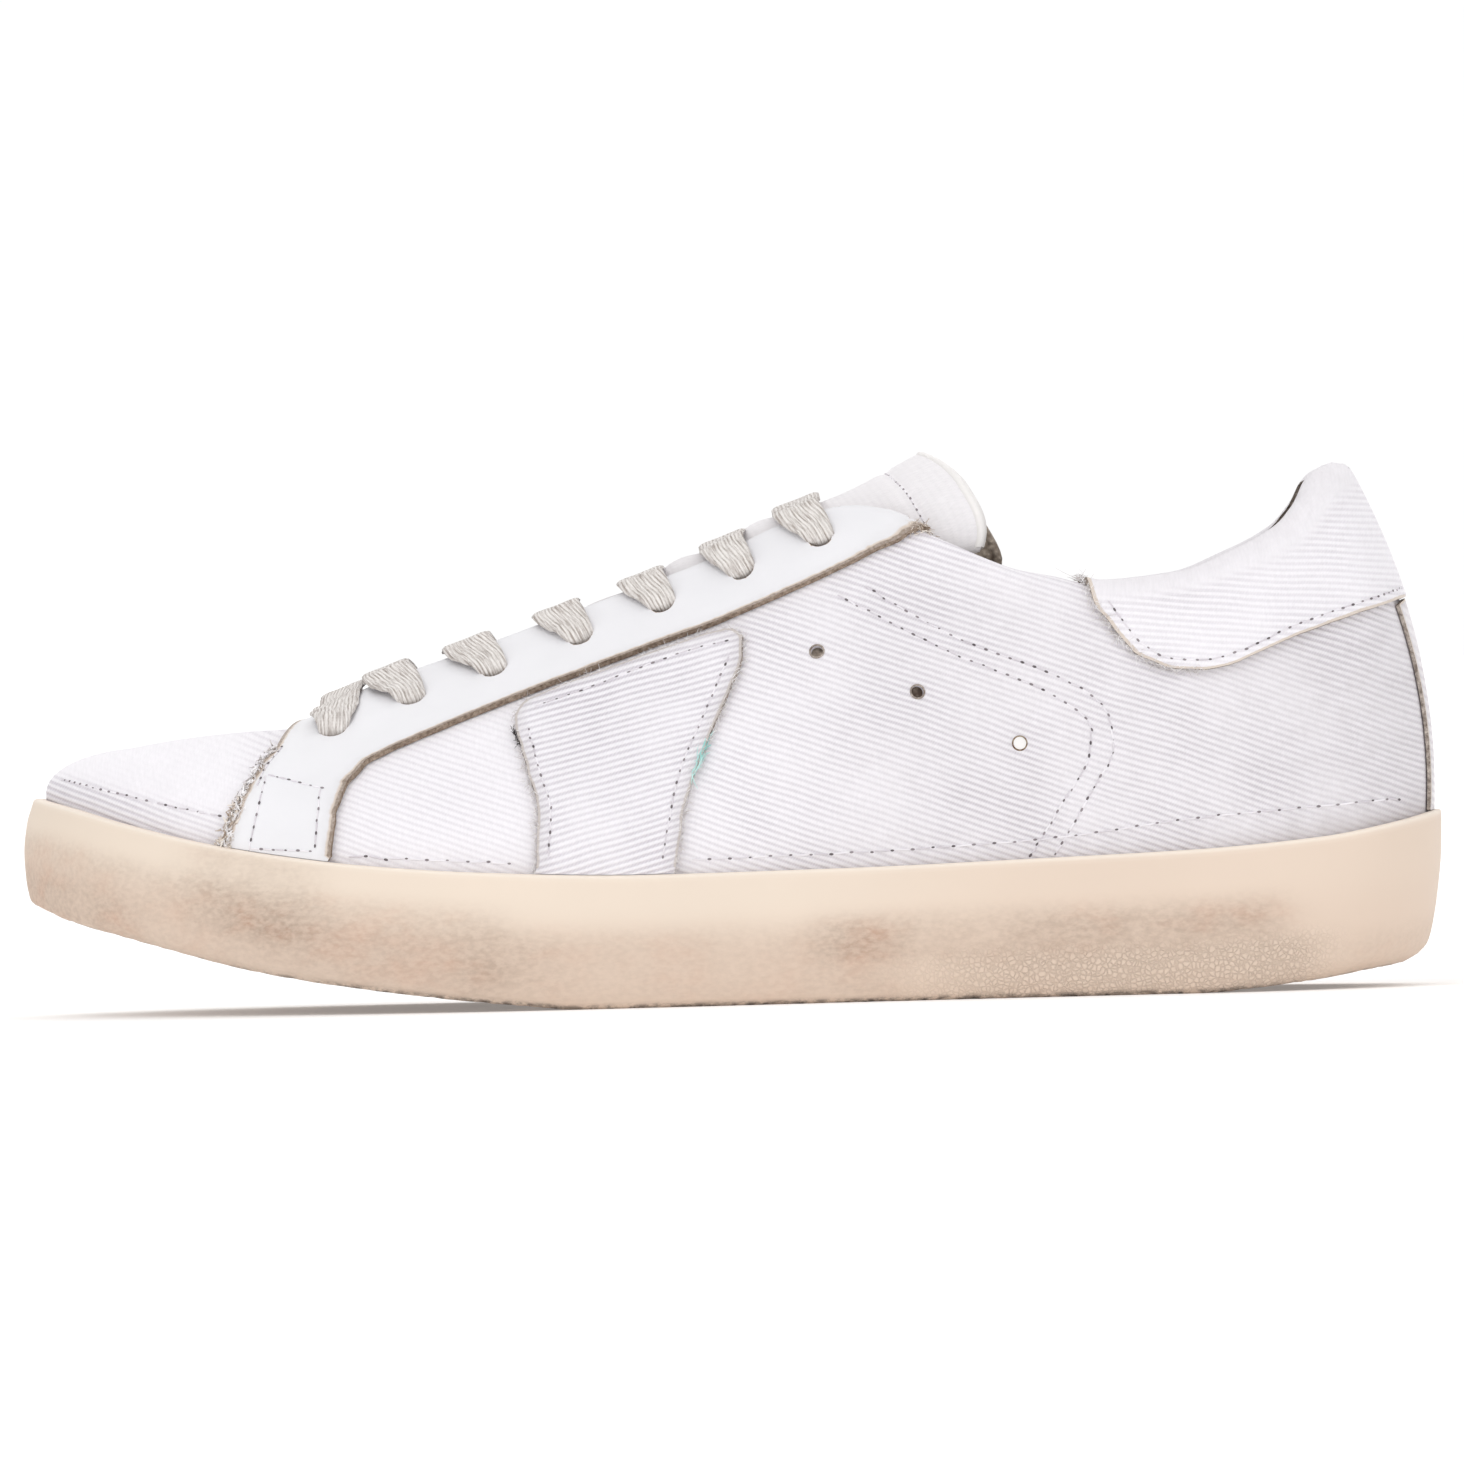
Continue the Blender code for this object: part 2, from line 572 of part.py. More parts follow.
def build_tongue(finish):
    """Tongue: a padded tapered arch under the throat that stands free above the last lace."""
    stations = np.linspace(TONGUE_SECTIONS[0][0], TONGUE_SECTIONS[-1][0], 15)
    across = 13
    points = [arch_section(x, face, across) for x in stations for face in (0, 1)]
    loop = 2 * across
    faces = []
    for i in range(len(stations) - 1):
        low, high = i * loop, (i + 1) * loop
        for k in range(across - 1):
            faces.append([low + k, low + k + 1, high + k + 1, high + k])
            faces.append([low + across + k + 1, low + across + k, high + across + k, high + across + k + 1])
        faces.append([low, high, high + across, low + across])
        faces.append([low + across - 1, low + 2 * across - 1, high + 2 * across - 1, high + across - 1])
    for base in (0, (len(stations) - 1) * loop):
        faces += [[base + k, base + k + 1, base + across + k + 1, base + across + k] for k in range(across - 1)]
    return new_object("tongue", mesh_from("tongue", np.vstack(points), faces), finish)


def share_of_top(x):
    """Share v of the column whose top end stands at x."""
    v = np.linspace(STATION_SHARES[1], 1, 400)
    return float(np.interp(x, top_edge(v, -1)[0][:, 0], v))


def along_skin(v, r, side):
    """Unit direction from toe to heel along the upper's face."""
    step = skin(v + 0.01, r, side) - skin(v - 0.01, r, side)
    if r > 0.9:
        step[1] *= np.clip((v - STATION_SHARES[THROAT_CORNER]) / 0.04, 0, 1)
    return step / np.linalg.norm(step)


def resting_height(v, r, side, reach=0.017):
    """How far the upper's face rises above its own point (v, r) within the width of a lace."""
    near = skin(v + np.linspace(-reach, reach, 9), r, side) - skin(v, r, side)
    return max(0.0, float((near @ skin_normal(v, r, side)).max()))


def bar_route(hole, crest_place, side):
    """Half a lace bar: the points of its middle line from its eyelet to the throat's edge, and its width there."""
    seat = FIT + OVERLAY + FIT + LACE / 2 + 0.2
    v, r = on_skin(*hole, side)
    v_top = share_of_top(hole[0] + 0.7 * (crest_place[0] - hole[0]))
    centre, normal = skin(v, r, side), skin_normal(v, r, side)
    ahead = skin(v + 0.3 * (v_top - v), r + 0.3 * (1 - r), side) - centre
    ahead /= np.linalg.norm(ahead)
    wide = along_skin(v, r, side)
    route = [(centre - 0.8 * ahead + normal * (FIT + 0.2), wide),
             (centre - 0.5 * ahead + normal * (FIT + OVERLAY + 0.1), wide),
             (centre + 1.6 * ahead + normal * (seat + 0.2), wide)]
    for share in (0.45, 0.75, 1.0):
        at = v + share * (v_top - v), r + share * (1 - r)
        lift = seat + 0.15 + 0.35 * share + 1.2 * resting_height(*at, side)
        lifted = skin(*at, side) + skin_normal(*at, side) * lift
        route.append((lifted, along_skin(*at, side)))
    route.append((route[-1][0] + np.array([0, -1.6 * side, 0.1]), route[-1][1]))
    return route


def build_lace_bar(number, hole, crest_place, finish):
    """One bar of flat lace, from the outer eyelet over the tongue to the inner eyelet."""
    middle = np.array([crest_place[0], profile(RIDGE_OFFSET, crest_place[0]), crest_place[1] - LACE / 2])
    throat = np.array([math.cos(math.radians(20)), 0, math.sin(math.radians(20))])
    route = bar_route(hole, crest_place, -1) + [(middle, throat)] + bar_route(hole, crest_place, 1)[::-1]
    line = np.array([place for place, _ in route])
    widths = np.array([wide for _, wide in route])
    run = np.concatenate([[0], np.cumsum(np.linalg.norm(np.diff(line, axis=0), axis=1))])
    inner = np.linspace(run[2], run[-3], 11)
    samples = np.concatenate([run[:2], inner, run[-2:]])
    path = catmull(run, line, samples)
    widths = catmull(run, widths, samples)
    along = np.gradient(path, axis=0)
    along /= np.linalg.norm(along, axis=1, keepdims=True)
    points = []
    corners = [(-0.5, 0), (-0.4, 0.5), (0.4, 0.5), (0.5, 0), (0.4, -0.5), (-0.4, -0.5)]
    for k, (at, way) in enumerate(zip(path, along)):
        wide = widths[k] - way * (widths[k] @ way)
        wide /= np.linalg.norm(wide)
        thick = np.cross(wide, way)
        reach = min(k, len(path) - 1 - k)
        width = LACE_END + (LACE_WIDTH - LACE_END) * min(1.0, max(0, reach - 1) / 2.5) ** 0.8
        points += [at + wide * a * width + thick * b * LACE for a, b in corners]
    sides = len(corners)
    faces = []
    for i in range(len(path) - 1):
        for k in range(sides):
            n = (k + 1) % sides
            faces.append([i * sides + k, i * sides + n, (i + 1) * sides + n, (i + 1) * sides + k])
    faces.append(list(range(sides)))
    faces.append([(len(path) - 1) * sides + k for k in range(sides)][::-1])
    name = f"lace_bar_{number}"
    return new_object(name, mesh_from(name, points, faces), finish)


def catmull(knots, points, at):
    """Smooth curve through points whose distances along it are the knots."""
    tangent = np.gradient(points, knots, axis=0)
    k = np.clip(np.searchsorted(knots, at, side="right") - 1, 0, len(knots) - 2)
    h = (knots[k + 1] - knots[k])[:, None]
    t = (at - knots[k])[:, None] / h
    return ((1 + 2 * t) * (1 - t) ** 2 * points[k] + t * (1 - t) ** 2 * h * tangent[k]
            + t * t * (3 - 2 * t) * points[k + 1] + t * t * (t - 1) * h * tangent[k + 1])


def main():
    """Build the sneaker's pieces in the order in which a maker would join them."""
    clear_scene()
    rubber = material("cream_rubber", (0.80, 0.68, 0.54), 0.75)
    leather = material("white_leather", (0.88, 0.86, 0.88), 0.6)
    smooth_leather = material("smooth_leather", (0.93, 0.93, 0.94), 0.5)
    lining = material("grey_lining", (0.55, 0.50, 0.45), 0.95)
    lace = material("grey_lace", (0.60, 0.56, 0.52), 0.9)

    build_sole(rubber)
    build_insole(lining)

    eyelets = hole_cutters("eyelet_punches", EYELETS, EYELET_RADIUS, 8.0, (-1, 1))
    vents = hole_cutters("vent_punches", VENTS, VENT_RADIUS, 8.0, (-1,))
    build_upper(leather, [eyelets, vents])

    build_overlay("eyestay", side_prism("eyestay_cutter", EYESTAY, -90, 90), smooth_leather,
                  punches=[eyelets])
    build_overlay("side_patch", side_prism("patch_cutter", SIDE_PATCH, -90, 0), leather)
    build_overlay("heel_tab", side_prism("heel_tab_cutter", HEEL_TAB, -90, 90), leather)
    back = [(100, 25), (100, BACK_STRIP_TOP), (160, BACK_STRIP_TOP), (160, 25)]
    middle = profile(RIDGE_OFFSET, HEEL_BACK)
    build_overlay("back_strip", side_prism("strip_cutter", back, middle - BACK_STRIP_HALF, middle + BACK_STRIP_HALF),
                  leather, STRIP)
    build_tongue(leather)
    for number, (hole, crest_place) in enumerate(zip(EYELETS, BAR_CRESTS), start=1):
        build_lace_bar(number, hole, crest_place, lace)


main()
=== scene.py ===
"""Looks of a worn low-cut lace-up sneaker for the left foot, laid over its solid model.

The shoe stands empty on its sole. Toe towards -X, heel towards +X, outer side of the foot towards -Y, floor at z = 0.
Shapes are worked out in millimetres on one last, and a mesh gets its metres when it is made.
"""

from __future__ import annotations

import json
import logging
import math
import sys
from contextlib import contextmanager
from dataclasses import dataclass, field
from enum import Enum
from typing import Any, Callable, ClassVar, Iterator, Sequence

import bpy
import numpy as np
from mathutils import Matrix, Vector, noise

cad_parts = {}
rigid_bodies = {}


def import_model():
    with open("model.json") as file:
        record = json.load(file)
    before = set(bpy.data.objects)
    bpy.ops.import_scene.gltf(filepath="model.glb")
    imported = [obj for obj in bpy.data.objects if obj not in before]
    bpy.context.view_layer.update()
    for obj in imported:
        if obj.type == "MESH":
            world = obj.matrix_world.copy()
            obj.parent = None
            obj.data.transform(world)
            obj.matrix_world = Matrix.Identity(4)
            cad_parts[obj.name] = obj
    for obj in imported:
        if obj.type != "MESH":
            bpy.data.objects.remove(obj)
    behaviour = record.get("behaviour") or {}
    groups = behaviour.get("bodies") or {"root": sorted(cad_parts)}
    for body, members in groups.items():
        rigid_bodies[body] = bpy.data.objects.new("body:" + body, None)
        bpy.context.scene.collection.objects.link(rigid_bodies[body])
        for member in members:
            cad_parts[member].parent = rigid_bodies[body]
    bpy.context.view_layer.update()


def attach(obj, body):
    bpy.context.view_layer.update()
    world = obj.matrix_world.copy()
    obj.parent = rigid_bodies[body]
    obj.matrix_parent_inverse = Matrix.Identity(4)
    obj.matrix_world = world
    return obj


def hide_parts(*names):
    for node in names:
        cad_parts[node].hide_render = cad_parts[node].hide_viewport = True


MM = 0.001
LOG = logging.getLogger("sneaker")
Array = np.ndarray
Piece = bpy.types.Object
Material = bpy.types.Material
Socket = bpy.types.NodeSocket
Line = Sequence[tuple[float, float]]  # points of the side view or of the plan, in millimetres


class Side(Enum):
    """The two sides of the foot, by the sign of their y."""

    OUTER = -1
    INNER = 1


BOTH = (Side.OUTER, Side.INNER)
OUTER_ONLY = (Side.OUTER,)


def hermite(knots: Array, rows: Array, slopes: Array, at: Any) -> Array:
    """Read a cubic curve through rows of values, with the slope at each, at positions between the knots."""
    k = np.clip(np.searchsorted(knots, at, side="right") - 1, 0, len(knots) - 2)
    h = (knots[k + 1] - knots[k])[..., None]
    t = (at - knots[k])[..., None] / h
    return ((1 + 2 * t) * (1 - t) ** 2 * rows[k] + t * (1 - t) ** 2 * h * slopes[k]
            + t * t * (3 - 2 * t) * rows[k + 1] + t * t * (t - 1) * h * slopes[k + 1])


def smooth(knots: Sequence[float], values: Any, at: Any) -> Array:
    """Read a monotone cubic through knots.

    Args:
        knots: Rising positions of the known values.
        values: One value, or one row of values, per knot.
        at: Positions to read.

    Returns:
        The values there, with a last axis where values has columns.
    """
    x, y = np.asarray(knots, float), np.asarray(values, float)
    at = np.clip(np.asarray(at, float), x[0], x[-1])
    if y.ndim == 1:
        return smooth(x, y[:, None], at)[..., 0]
    slope = np.diff(y, axis=0) / np.diff(x)[:, None]
    tangent = np.zeros_like(y)
    tangent[0], tangent[-1] = slope[0], slope[-1]
    before, after = slope[:-1], slope[1:]
    with np.errstate(divide="ignore", invalid="ignore"):
        tangent[1:-1] = np.where(before * after > 0, 2 * before * after / (before + after), 0.0)
    return hermite(x, y, tangent, at)


def profile(pairs: Line, x: Any) -> Array:
    """Read a side profile, given as (x, value) pairs, at x."""
    table = np.array(pairs, float)
    return smooth(table[:, 0], table[:, 1], x)


def unit(vectors: Array) -> Array:
    """Vectors at length one."""
    return vectors / np.maximum(np.linalg.norm(vectors, axis=-1, keepdims=True), 1e-12)


def ease(low: float, high: float, at: Any) -> Array:
    """Smooth step from 0 at low to 1 at high."""
    t = np.clip((np.asarray(at, float) - low) / (high - low), 0, 1)
    return t * t * (3 - 2 * t)


def distance_to_line(points: Array, line: Array) -> Array:
    """Shortest distance from each plane point to an open polyline."""
    best = np.full(len(points), 1e9)
    for a, b in zip(line[:-1], line[1:]):
        ab = b - a
        t = np.clip(((points - a) @ ab) / max(float(ab @ ab), 1e-9), 0, 1)
        best = np.minimum(best, np.linalg.norm(points - a - t[:, None] * ab, axis=1))
    return best


def runs(points: Array) -> Array:
    """Distance along a polyline, or along each of several, up to each of its points."""
    steps = np.linalg.norm(np.diff(points, axis=-2), axis=-1)
    return np.concatenate([np.zeros_like(steps[..., :1]), np.cumsum(steps, axis=-1)], axis=-1)


def columns_at(at: Array, run: Array, rows: Array) -> Array:
    """Rows of values read by straight lines at positions along a run."""
    return np.stack([np.interp(at, run, column) for column in rows.T], -1)


def along(line: Array, step: float) -> Array:
    """Points every step along a polyline, its ends kept."""
    run = runs(line)
    return columns_at(np.linspace(0, run[-1], max(2, int(round(run[-1] / step)) + 1)), run, line)


def rounded(points: Line, step: float) -> Array:
    """A smooth open curve through side-view points, as points every step."""
    p = np.array(points, float)
    run = runs(p)
    return along(smooth(run, p, np.linspace(0, run[-1], 40 * len(p))), step)


def between(first: Array, second: Array, count: int) -> Array:
    """Straight rungs of count steps from one edge to another, by column and row."""
    t = np.linspace(0, 1, count + 1)[None, :, None]
    return first[:, None] * (1 - t) + second[:, None] * t


def round_shoe(outer: Array, inner: Array) -> Array:
    """Columns once round the shoe: from the toe along the outer side, and back along the inner side."""
    return np.concatenate([outer, inner[-2::-1]])


@dataclass
class Last:
    """The form that the shoe is made over: one closed plan outline, a top line, and a column from rim to top.

    A side is -1 for the outer and 1 for the inner side. Share v runs along a side from toe to heel, and share r up a
    column from the rim (0) to the top line (1).
    """

    wall: float = 2.2
    pad: float = 5.6
    fit: float = 0.3
    rim: float = 2.2
    overlay: float = 1.3
    sole_front: float = 10.0
    sole_heel: float = 19.0
    toe_tip: float = -146.0
    heel_back: float = 146.0
    run: float = 330.0  # rough length of one side, which scales the pattern plane
    rise: float = 100.0  # rough height of a column on the pattern plane
    throat_front: int = 3
    throat_corner: int = 4
    collar_front: int = 8

    OUTER_PLAN: ClassVar = [(-146, 7), (-141, -11), (-129, -27), (-106, -41), (-76, -50), (-44, -53), (-8, -50),
                            (32, -43.5), (72, -39.5), (105, -38), (129, -30.5), (142, -16), (146, 1)]
    INNER_PLAN: ClassVar = [(142, 18), (129, 31), (105, 37), (70, 36.5), (34, 36), (0, 40), (-34, 46), (-66, 50),
                            (-96, 48.5), (-121, 40.5), (-138, 25)]
    UNDERSIDE: ClassVar = [(-146, 22.6), (-139, 19.8), (-126, 16.3), (-114, 13), (-102, 9.8), (-90, 7.3), (-77, 5.2),
                           (-65, 3.5), (-53, 2.0), (-42, 0.9), (-32, 0), (95, 0), (108, 0.9), (120, 2.0), (132, 3.3),
                           (146, 4.8)]
    RIM_LINE: ClassVar = [(-146, 45), (-138, 43), (-126, 39.7), (-110, 35.8), (-93, 32.7), (-76, 30.4), (-52, 28.4),
                          (-19, 27.1), (22, 27.4), (63, 28.4), (96, 29.5), (121, 31.4), (137, 34), (146, 36)]
    SIDE_SHARES: ClassVar = [0.0, 0.05, 0.13, 0.3, 0.5, 0.75, 1.0]
    SIDE_INSETS: ClassVar = {"toe": [3.2, 1.3, 0.7, 0.2, 0.0, 0.6, 2.3], "flank": [2.8, 1.0, 0.4, 0.0, 0.0, 0.3, 0.9],
                             "heel": [8.5, 5.6, 3.4, 2.0, 1.0, 0.2, 0.0]}
    TOP_HEIGHT: ClassVar = [(-124, 54.9), (-113, 56.6), (-99, 57.8), (-93, 58.0), (-88, 58.4), (-83, 60.2),
                            (-75, 64.6), (-52, 72.8), (-8, 88.3), (26, 100.6), (33, 99.5), (41, 95.6), (52, 90.5),
                            (60, 87.6), (77, 85.2), (92, 86.5), (104, 90.8), (114, 96.0), (118, 100.2),
                            (122, 106.2), (126, 108.8)]
    RIDGE_OFFSET: ClassVar = [(-146, 7.4), (-80, 5.9), (-8, 3.9), (60, 2.4), (146, 2.4)]
    # Foot x, top x, half gap, arrival angle, tip towards the toe, flare at the rim, grip of the lower and upper end
    STATIONS: ClassVar = [
        (-141.0, -124.0, 0.0, 0, 0, 2, 0.30, 0.42), (-127.0, -113.5, 0.0, 0, 0, 5, 0.32, 0.50),
        (-106.0, -99.0, 0.0, 0, 0, 8, 0.30, 0.52), (-86.0, -83.0, 0.0, 0, 0, 8, 0.28, 0.48),
        (-76.0, -75.0, 8.0, 16, 18, 8, 0.28, 0.44), (-42.0, -52.0, 9.8, 26, 20, 8, 0.30, 0.40),
        (0.0, -8.0, 13.6, 34, 20, 7, 0.30, 0.36), (28.0, 26.0, 17.2, 42, 20, 6, 0.30, 0.34),
        (39.0, 40.0, 23.5, 60, 14, 6, 0.30, 0.32), (50.0, 52.0, 29.5, 72, 6, 6, 0.30, 0.32),
        (62.0, 62.0, 32.0, 78, 2, 6, 0.32, 0.32), (79.0, 78.0, 33.4, 80, 0, 6, 0.34, 0.32),
        (97.0, 95.0, 32.4, 80, 4, 7, 0.34, 0.34), (112.0, 107.5, 28.4, 81, 10, 8, 0.34, 0.36),
        (125.0, 116.5, 22.4, 83, 18, 8, 0.34, 0.38), (136.0, 123.0, 13.4, 86, 24, 5, 0.33, 0.38),
        (143.5, 126.0, 0.0, 88, 27, 3, 0.33, 0.36)]

    def __post_init__(self) -> None:
        """Lay out the plan outline, the stations and the tables that later look-ups read."""
        p = np.array(self.OUTER_PLAN + self.INNER_PLAN, float)
        before, after, beyond = np.roll(p, 1, 0), np.roll(p, -1, 0), np.roll(p, -2, 0)
        steps = 24
        dense = np.stack([0.5 * (2 * p + (after - before) * t + (2 * before - 5 * p + 4 * after - beyond) * t * t
                                 + (3 * p - before - 3 * after + beyond) * t ** 3)
                          for t in np.arange(steps) / steps], axis=1).reshape(-1, 2)
        dense[:, 1] -= (dense[:, 1].max() + dense[:, 1].min()) / 2
        heel = (len(self.OUTER_PLAN) - 1) * steps
        self.half = {-1: dense[:heel + 1], 1: np.vstack([dense[:1], dense[:heel - 1:-1]])}
        self.half_run = {side: runs(line) / runs(line)[-1] for side, line in self.half.items()}
        self.shares = np.interp([s[0] for s in self.STATIONS], self.half[-1][:, 0], self.half_run[-1])
        self.shares[0], self.shares[-1] = 0.0, 1.0
        self.values = np.array(self.STATIONS, float)[:, 1:]
        self.v_throat = float(self.shares[self.throat_front])
        self.v_corner = float(self.shares[self.throat_corner])
        self.v_collar = float(self.shares[self.collar_front])
        self._tables()

    def _tables(self) -> None:
        """Sample the face once, for look-ups from the side view, arc lengths and the top's rounding."""
        self.grid_v, self.grid_r = np.linspace(0, 1, 241), np.linspace(0, 1, 121)
        v, r = np.meshgrid(self.grid_v, self.grid_r, indexing="ij")
        self.sampled = {side: self.skin(v, r, side) for side in (-1, 1)}
        self.arcs = {side: runs(face) for side, face in self.sampled.items()}
        short = self.roll_radius(self.grid_v) + self.sink(self.grid_v)
        self.roll_starts = {side: np.array([np.interp(a[-1] - s, a, self.grid_r) for a, s in zip(arcs, short)])
                            for side, arcs in self.arcs.items()}

    def ring(self, v: Any, side: int, inset: Any) -> tuple[Array, Array]:
        """Plan points and outward directions at share v of one side, moved inwards by inset."""
        v = np.asarray(v, float)

        def folded(share: Array) -> Array:
            """Points at shares that may pass the toe or heel on to the other side."""
            back = np.where(share < 0, -share, np.where(share > 1, 2 - share, share))
            own, far = (columns_at(back, self.half_run[s], self.half[s]) for s in (side, -side))
            return np.where(((share < 0) | (share > 1))[..., None], far, own)

        way = unit(folded(v + 0.012) - folded(v - 0.012))
        outward = side * np.stack([-way[..., 1], way[..., 0]], -1)
        place = columns_at(v, self.half_run[side], self.half[side])
        return place - outward * np.asarray(inset, float)[..., None], outward

    def side_inset(self, x: Any, share: Any) -> Array:
        """How far the sole's side lies inside its widest line at a share of its height."""
        toe, heel = ease(0, 1, (-np.asarray(x, float) - 96) / 40), ease(0, 1, (np.asarray(x, float) - 100) / 36)
        part = {name: smooth(self.SIDE_SHARES, values, share) for name, values in self.SIDE_INSETS.items()}
        return part["flank"] * (1 - toe - heel) + part["toe"] * toe + part["heel"] * heel

    def cup_floor(self, x: Any) -> Array:
        """Height of the cup sole's inside floor."""
        thick = smooth([self.toe_tip, -40, 60, self.heel_back],
                       [self.sole_front, self.sole_front, self.sole_heel, self.sole_heel], x)
        return profile(self.UNDERSIDE, x) + thick

    def top_edge(self, v: Any) -> tuple[Array, ...]:
        """The top line at share v: x, half gap, height, and how its column arrives."""
        v = np.asarray(v, float)
        top_x, gap, lift, tip, flare, low, high = np.moveaxis(smooth(self.shares, self.values, v), -1, 0)
        radius = self.values[self.throat_corner, 1]
        turn = np.clip((v - self.v_throat) / (self.v_corner - self.v_throat), 0, 1) * np.pi / 2
        rounding = (v > self.v_throat) & (v < self.v_corner)
        top_x = np.where(rounding, self.values[self.throat_front, 0] + radius * (1 - np.cos(turn)), top_x)
        gap = np.where(v <= self.v_throat, 0, np.where(rounding, radius * np.sin(turn), gap))
        return (top_x, gap, profile(self.TOP_HEIGHT, top_x), *np.radians([lift, tip, flare]), low, high)

    def skin(self, v: Any, r: Any, side: int) -> Array:
        """The upper's outer face, from the rim (r = 0) to the top line (r = 1)."""
        v, r = np.broadcast_arrays(np.asarray(v, float), np.asarray(r, float))
        x_foot = self.ring(v, side, np.zeros_like(v))[0][..., 0]
        foot, outward = self.ring(v, side, self.side_inset(x_foot, 1.0) + self.rim + self.fit)
        start = np.concatenate([foot, profile(self.RIM_LINE, x_foot)[..., None] + 2 * self.fit], -1)
        top_x, gap, height, lift, tip, flare, low, high = self.top_edge(v)
        place = np.stack([top_x, profile(self.RIDGE_OFFSET, top_x) + side * gap, height], -1)
        out = np.concatenate([outward, np.zeros_like(outward[..., :1])], -1)
        inward = unit((place - start) * np.array([1, 1, 0]) - 4 * out)
        ramp = np.clip((profile(self.TOP_HEIGHT, top_x + 1) - profile(self.TOP_HEIGHT, top_x - 1)) / 2, 0, 1)
        ramp = ramp * np.clip(1 - lift / math.radians(12), 0, 1)
        up = np.stack([-np.sin(tip), np.zeros_like(tip), np.cos(tip)], -1)
        arrive = np.cos(lift)[..., None] * inward + np.sin(lift)[..., None] * up
        arrive[..., 2] += ramp * inward[..., 0]
        leave = np.sin(flare)[..., None] * out + np.cos(flare)[..., None] * np.array([0, 0, 1.0])
        chord = np.linalg.norm(place - start, axis=-1)
        first = start + leave * (low * chord)[..., None]
        second = place - arrive * (high * chord)[..., None]
        t = r[..., None]
        return start * (1 - t) ** 3 + 3 * first * t * (1 - t) ** 2 + 3 * second * t * t * (1 - t) + place * t ** 3

    def steps(self, v: Array, r: Array, side: int, step: float) -> tuple[Array, Array]:
        """Short moves over the face along the shoe and up the column, a step to either side where there is face."""
        way = self.skin(np.clip(v + step, 0, 1), r, side) - self.skin(np.clip(v - step, 0, 1), r, side)
        up = self.skin(v, np.clip(r + step, 0, 1), side) - self.skin(v, np.clip(r - step, 0, 1), side)
        return way, up

    def normal(self, v: Any, r: Any, side: int) -> Array:
        """Outward unit direction of the face."""
        way, up = self.steps(*np.broadcast_arrays(np.asarray(v, float), np.asarray(r, float)), side, 1e-3)
        return unit(side * np.cross(up, way))

    def roll_radius(self, v: Any) -> Array:
        """Radius of the rounded top edge: nothing on the closed vamp, thin at the throat, padded at the collar."""
        v = np.asarray(v, float)
        throat = ease(self.v_throat, self.v_throat + 0.03, v) * self.wall / 2
        x = self.top_edge(v)[0]
        return throat + (self.pad - self.wall) / 2 * ease(46, 66, x)

    def sink(self, v: Any) -> Array:
        """How much lower the upper's own top lies where the heel tab is folded over it."""
        return (self.fit + self.overlay) * ease(66, 78, self.top_edge(np.asarray(v, float))[0])

    def roll_start(self, v: Any, side: int) -> Array:
        """The r at which the face starts to roll over into the collar."""
        return np.interp(v, self.grid_v, self.roll_starts[side])

    def laid(self, v: Any, r: Any, side: int, offset: Any = 0.0) -> Array:
        """A point lying at an offset over the face, carried round the rolled top edge where r passes its start.

        Args:
            v: Share along the side, from toe to heel.
            r: Share up the column; 1 is the top of the roll.
            side: The side, as its sign.
            offset: Height over the face, in millimetres.

        Returns:
            The points, in millimetres.
        """
        v, r, offset = (np.asarray(a, float) for a in np.broadcast_arrays(v, r, offset))
        start, radius = self.roll_start(v, side), self.roll_radius(v)
        low = np.clip(np.minimum(r, start), 0, 1)
        base, out = self.skin(v, low, side), self.normal(v, low, side)
        up = unit(self.skin(v, low, side) - self.skin(v, np.clip(low - 0.01, 0, 1), side))
        turn = np.clip((r - start) / np.maximum(1 - start, 1e-4), 0, 2) * np.pi / 2
        turn = np.where(radius > 1e-6, turn, 0.0)
        reach = (radius + offset)[..., None]
        point = base - out * radius[..., None] + reach * (np.cos(turn)[..., None] * out + np.sin(turn)[..., None] * up)
        crest = (v <= self.v_throat + 1e-9) & (r >= 1 - 1e-9)
        if crest.any():
            one = np.ones_like(v)
            ends = [self.skin(v, one, s) + self.normal(v, one, s) * offset[..., None] for s in (-1, 1)]
            point = np.where(crest[..., None], (ends[0] + ends[1]) / 2, point)
        return point + np.minimum(r, 0)[..., None] * self.rise * np.array([0, 0, 1.0])

    def lean(self, v: Any, r: Any, side: int, offset: float = 0.0) -> tuple[Array, Array, Array]:
        """Point, outward direction and direction up the column at one place on the laid face."""
        v, r = np.asarray(v, float), np.asarray(r, float)
        place = self.laid(v, r, side, offset)
        out = unit(self.laid(v, r, side, offset + 0.5) - self.laid(v, r, side, offset - 0.5))
        up = unit(self.laid(v, r + 0.004, side, offset) - self.laid(v, r - 0.004, side, offset))
        return place, out, up

